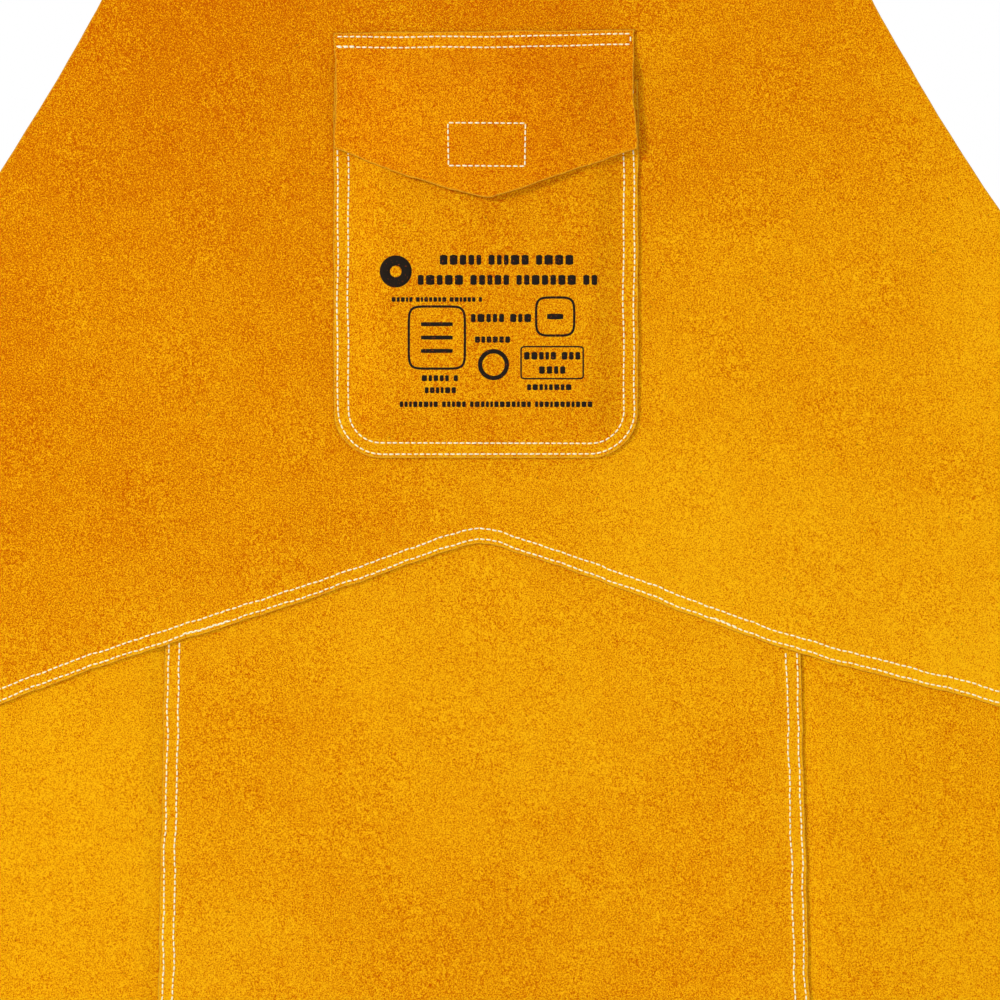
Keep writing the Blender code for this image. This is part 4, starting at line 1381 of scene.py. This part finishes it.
def spun(name, profile, centre, axis, sides=32):
    """A turned piece: a profile of (radius, height) spun round an axis through
    the centre. A profile that starts on the axis ends on it too; any other is
    a closed loop."""
    axis = np.asarray(axis, float) / np.linalg.norm(axis)
    first = np.cross(axis, [0.31, 0.52, 0.79])
    first /= np.linalg.norm(first)
    second = np.cross(axis, first)
    profile = np.asarray(profile, float)
    on_axis = profile[0, 0] == 0
    body = profile[1:-1] if on_axis else profile
    angles = np.arange(sides) / sides * 2 * np.pi
    ring = first * np.cos(angles)[:, None] + second * np.sin(angles)[:, None]
    points = centre + body[:, None, :1] * ring + body[:, None, 1:] * axis
    k = np.arange(len(body) * sides).reshape(-1, sides)
    quads = ring_quads(k, not on_axis)
    points = points.reshape(-1, 3)
    good = outward(points, quads)
    faces = list(good)
    if on_axis:
        flipped = not np.array_equal(good, quads)
        poles = [centre + profile[end, 1] * axis for end in (0, -1)]
        points = np.concatenate([points, poles])
        for pole, row, turn in ((len(points) - 2, k[0], 1), (len(points) - 1, k[-1], -1)):
            turn = -turn if flipped else turn
            after = np.roll(row, -1)
            faces += [(pole, b, a) if turn > 0 else (pole, a, b) for a, b in zip(row, after)]
    return add_mesh(name, points, faces, smooth_angle=50)


def joint(name):
    """The frame's facts of a joint."""
    return next(j for j in frame["joints"] if j["name"] == name)


def arc(centre, u, v, radius, start, end, count):
    """Points of an arc in the plane of u and v, its angles in degrees."""
    angles = np.radians(np.linspace(start, end, count))[:, None]
    return centre + radius * (np.cos(angles) * u + np.sin(angles) * v)


def plate(obj, body, node):
    """Gives a metal piece its nickel."""
    return dress(obj, body, "nickel", node, slot="nickel_steel")


class APRON_OT_metalwork(Operator):
    """Make the rings, rivets and roller buckles"""

    bl_idname = "apron.metalwork"
    bl_label = "Metalwork"

    def execute(self, context):
        settle(context.scene)
        for side in ("left", "right"):
            self.waist_ring(side)
            self.neck_ring(side)
        self.buckle("neck", "neck_loop", "neck_roller", "neck_loop")
        self.buckle("waist", "waist_strap_right", "waist_roller", "waist_prong")
        for name in sorted(frame["nodes"]):
            if "rivet" in name:
                self.rivet(name)
        return {"FINISHED"}

    def waist_ring(self, side):
        """A circle of wire, its radius from the ring's box."""
        node = f"waist_ring_{side}"
        low, high = corners(node)
        wire = (high[1] - low[1]) / 2
        radius = (high[0] - low[0]) / 2 - wire
        path = arc((low + high) / 2, X_AXIS, Z_AXIS, radius, 0, 360, 97)[:-1]
        plate(swept(f"{node}_wire", path, wire, True), "apron", node)

    def neck_ring(self, side):
        """A D: a half circle over two rounded corners and a straight bar."""
        node = f"neck_ring_{side}"
        low, high = corners(node)
        wire = (high[1] - low[1]) / 2
        radius = (high[0] - low[0]) / 2 - wire
        corner = high[2] - low[2] - 2 * wire - radius
        middle = (low + high) / 2
        centre = middle * [1, 1, 0] + Z_AXIS * (high[2] - wire - radius)
        aside = X_AXIS * (radius - corner)
        path = np.concatenate([
            arc(centre, X_AXIS, Z_AXIS, radius, 0, 180, 49)[:-1],
            arc(centre - aside, X_AXIS, Z_AXIS, corner, 180, 270, 11),
            arc(centre + aside, X_AXIS, Z_AXIS, corner, 270, 360, 11)[:-1],
        ])
        plate(swept(f"{node}_wire", path, wire, True), "neck_loop", node)

    def buckle(self, prefix, body, roller_body, prong_body):
        """Frame, roller and prong about the heel bar, which is one buckle's length
        back from the roller along the strap."""
        spin = joint(f"{prefix}_roller_spin")
        along = np.array(joint(f"{prefix}_keeper_slide")["axis"], float)
        across = np.array(spin["axis"], float)
        roller = np.array(spin["pos_m"], float)
        heel = roller - along * BUCKLE_LENGTH
        self.buckle_frame(f"{prefix}_buckle_frame", body, heel, along, across)
        self.roller(f"{prefix}_buckle_roller", roller_body, roller, across)
        self.prong(f"{prefix}_buckle_prong", prong_body, heel, along)

    def buckle_frame(self, node, body, heel, along, across):
        """A rectangle of wire with rounded corners, one arc at each."""
        wire, half, corner = 1.6 * MM, 12.35 * MM, 3 * MM
        front = BUCKLE_LENGTH
        turns = []
        for s, w, start in ((front, 1, 0), (0, 1, 90), (0, -1, 180), (front, -1, 270)):
            inward = corner if s == 0 else -corner
            centre = heel + along * (s + inward) + across * w * (half - corner)
            turns.append(arc(centre, along, across, corner, start, start + 90, 10))
        plate(swept(f"{node}_wire", np.concatenate(turns), wire, True), body, node)

    def roller(self, node, body, centre, across):
        """A tube with softened ends."""
        outer, bore, reach, soft = 2.6 * MM, 1.9 * MM, 9 * MM, 0.25 * MM
        profile = [
            (outer - soft, reach),
            (outer, reach - soft),
            (outer, soft - reach),
            (outer - soft, -reach),
            (bore, -reach),
            (bore, reach),
        ]
        plate(spun(f"{node}_tube", profile, centre, across), body, node)

    def prong(self, node, body, heel, along):
        """A wire that rests over the roller and turns round the heel bar."""
        gauge, turn, past, over = 1.2 * MM, 3.1 * MM, 4 * MM, 4.1 * MM
        front = -Y_AXIS
        tip = heel + along * (BUCKLE_LENGTH + past) + front * (over - 0.2 * MM)
        rest = heel + along * BUCKLE_LENGTH + front * over
        start = heel + front * turn
        shaft = np.concatenate([
            tip + (rest - tip) * np.linspace(0, 1, 4)[:-1, None],
            rest + (start - rest) * np.linspace(0, 1, 9)[:-1, None],
        ])
        path = np.concatenate([shaft, arc(heel, along, front, turn, 90, 330, 33)])
        plate(swept(f"{node}_wire", path, gauge, False, 14), body, node)

    def rivet(self, node):
        """A shank between two shallow domed heads; their heights from the box."""
        low, high = corners(node)
        centre = (low + high) / 2
        reach = (high[1] - low[1]) / 2
        head, shank, dome = 4 * MM, 1.6 * MM, 1 * MM
        angles = np.radians(np.arange(0, 91, 15))
        cap = [(head * math.sin(a), reach - dome * 0.85 * (1 - math.cos(a))) for a in angles]
        half = [*cap, (head, reach - dome), (shank, reach - dome)]
        profile = half + [(r, -h) for r, h in reversed(half)]
        made = spun(f"{node}_head", profile, centre, Y_AXIS, 28)
        plate(made, body_of(frame["nodes"][node])[0], node)


# Stage

# Each lamp: its name, place and size in metres, and power in watts
LAMPS = (
    ("key", (-4.0, -3.4, 1.2), 0.9, 152),
    ("fill", (2.4, -3.3, -0.5), 2.4, 19),
    ("back", (1.6, 5.2, 3.4), 3.0, 120),
)
LAMP_AIM = Vector((0, 0, -0.78))
FLOOR_DROP = 0.10  # how far the floor is below the hem
FLOOR_HALF = 60.0
FLOOR_FADE = (1.7, 3.6)  # distances from the origin over which it fades to white
AMBIENT = 0.36
WHITE = (1, 1, 1, 1)


class APRON_OT_stage(Operator):
    """Set the floor, the lights, the backdrop light and the camera"""

    bl_idname = "apron.stage"
    bl_label = "Stage"

    def execute(self, context):
        self.floor()
        for lamp in LAMPS:
            self.light(*lamp)
        self.overhead()
        self.world(context.scene)
        self.camera(context.scene)
        context.scene.view_settings.view_transform = "Standard"
        return {"FINISHED"}

    def floor(self):
        """A plain floor, which the camera sees as white as the backdrop further off."""
        square = np.array([(-1, -1, 0), (1, -1, 0), (1, 1, 0), (-1, 1, 0)])
        points = square * FLOOR_HALF + Z_AXIS * (HEM - FLOOR_DROP)
        floor = add_mesh("floor", points, [(0, 1, 2, 3)])
        material, tree, shader = new_material("matt_white_floor")
        shader.inputs["Base Color"].default_value = rgba(linear("F2F1EE"))
        shader.inputs["Roughness"].default_value = 0.9
        at = add(tree, "TexCoord").outputs["Object"]
        away = add(tree, "VectorMath", {0: at}, operation="LENGTH").outputs["Value"]
        seen = add(tree, "LightPath").outputs["Is Camera Ray"]
        share = join(tree, "MULTIPLY", weigh(tree, away, *FLOOR_FADE), seen)
        plain = add(tree, "Emission", {"Color": WHITE, "Strength": 1.0})
        both = add(tree, "MixShader", {0: share, 1: shader.outputs[0], 2: plain.outputs[0]})
        out = tree.nodes["Material Output"]
        tree.links.new(both.outputs[0], out.inputs["Surface"])
        floor.data.materials.append(material)

    def light(self, name, place, size, power):
        """A square lamp that faces the apron's middle."""
        lamp = bpy.data.lights.new(name, "AREA")
        lamp.size = size
        lamp.energy = power
        obj = bpy.data.objects.new(name, lamp)
        obj.location = place
        aim = LAMP_AIM - Vector(place)
        obj.rotation_euler = aim.to_track_quat("-Z", "Y").to_euler()
        bpy.context.scene.collection.objects.link(obj)

    def overhead(self):
        """A wide soft light straight above, to keep the floor pale all over."""
        lamp = bpy.data.lights.new("overhead", "SUN")
        lamp.energy = 1.0
        lamp.angle = math.radians(60)
        bpy.context.scene.collection.objects.link(bpy.data.objects.new("overhead", lamp))

    def world(self, scene):
        """Soft white light from all round, and plain white behind the apron."""
        world = bpy.data.worlds.new("studio")
        scene.world = world
        world.use_nodes = True
        tree = world.node_tree
        tree.nodes.clear()
        ray = add(tree, "LightPath").outputs["Is Camera Ray"]
        soft = add(tree, "Background", {"Color": WHITE, "Strength": AMBIENT})
        plain = add(tree, "Background", {"Color": WHITE, "Strength": 1.0})
        both = add(tree, "MixShader", {0: ray, 1: soft.outputs[0], 2: plain.outputs[0]})
        add(tree, "OutputWorld", {"Surface": both.outputs[0]})

    def camera(self, scene):
        """Square on to the front with a long lens, the pocket above the middle."""
        lens, sensor, view = 150.0, 36.0, 0.600  # the last is the width seen, in metres
        data = bpy.data.cameras.new("camera")
        data.lens = lens
        data.sensor_width = sensor
        camera = bpy.data.objects.new("camera", data)
        distance = view * lens / sensor
        camera.location = (0.0078, BIB_LOW[1] - distance, -0.784)
        camera.rotation_euler = (math.pi / 2, 0, 0)
        scene.collection.objects.link(camera)
        scene.camera = camera


# Running it


class VIEW3D_PT_apron(Panel):
    """The steps that finish the apron"""

    bl_label = "Apron"
    bl_space_type = "VIEW_3D"
    bl_region_type = "UI"
    bl_category = "Apron"

    def draw(self, context):
        for group in (context.scene.apron_sizes, context.scene.apron_colours):
            for name in group.__annotations__:
                self.layout.prop(group, name)
        for step in STEPS:
            self.layout.operator(step.bl_idname)


STEPS = (
    APRON_OT_panels,
    APRON_OT_pocket,
    APRON_OT_stitching,
    APRON_OT_straps,
    APRON_OT_metalwork,
    APRON_OT_stage,
)
CLASSES = (ApronSizes, ApronColours, *STEPS, VIEW3D_PT_apron)


def register():
    for item in CLASSES:
        bpy.utils.register_class(item)
    bpy.types.Scene.apron_sizes = PointerProperty(type=ApronSizes)
    bpy.types.Scene.apron_colours = PointerProperty(type=ApronColours)


def unregister():
    del bpy.types.Scene.apron_sizes
    del bpy.types.Scene.apron_colours
    for item in reversed(CLASSES):
        bpy.utils.unregister_class(item)


def main():
    """Builds the whole apron."""
    register()
    for step in STEPS:
        area, name = step.bl_idname.split(".")
        getattr(getattr(bpy.ops, area), name)()


if __name__ == "__main__":
    main()
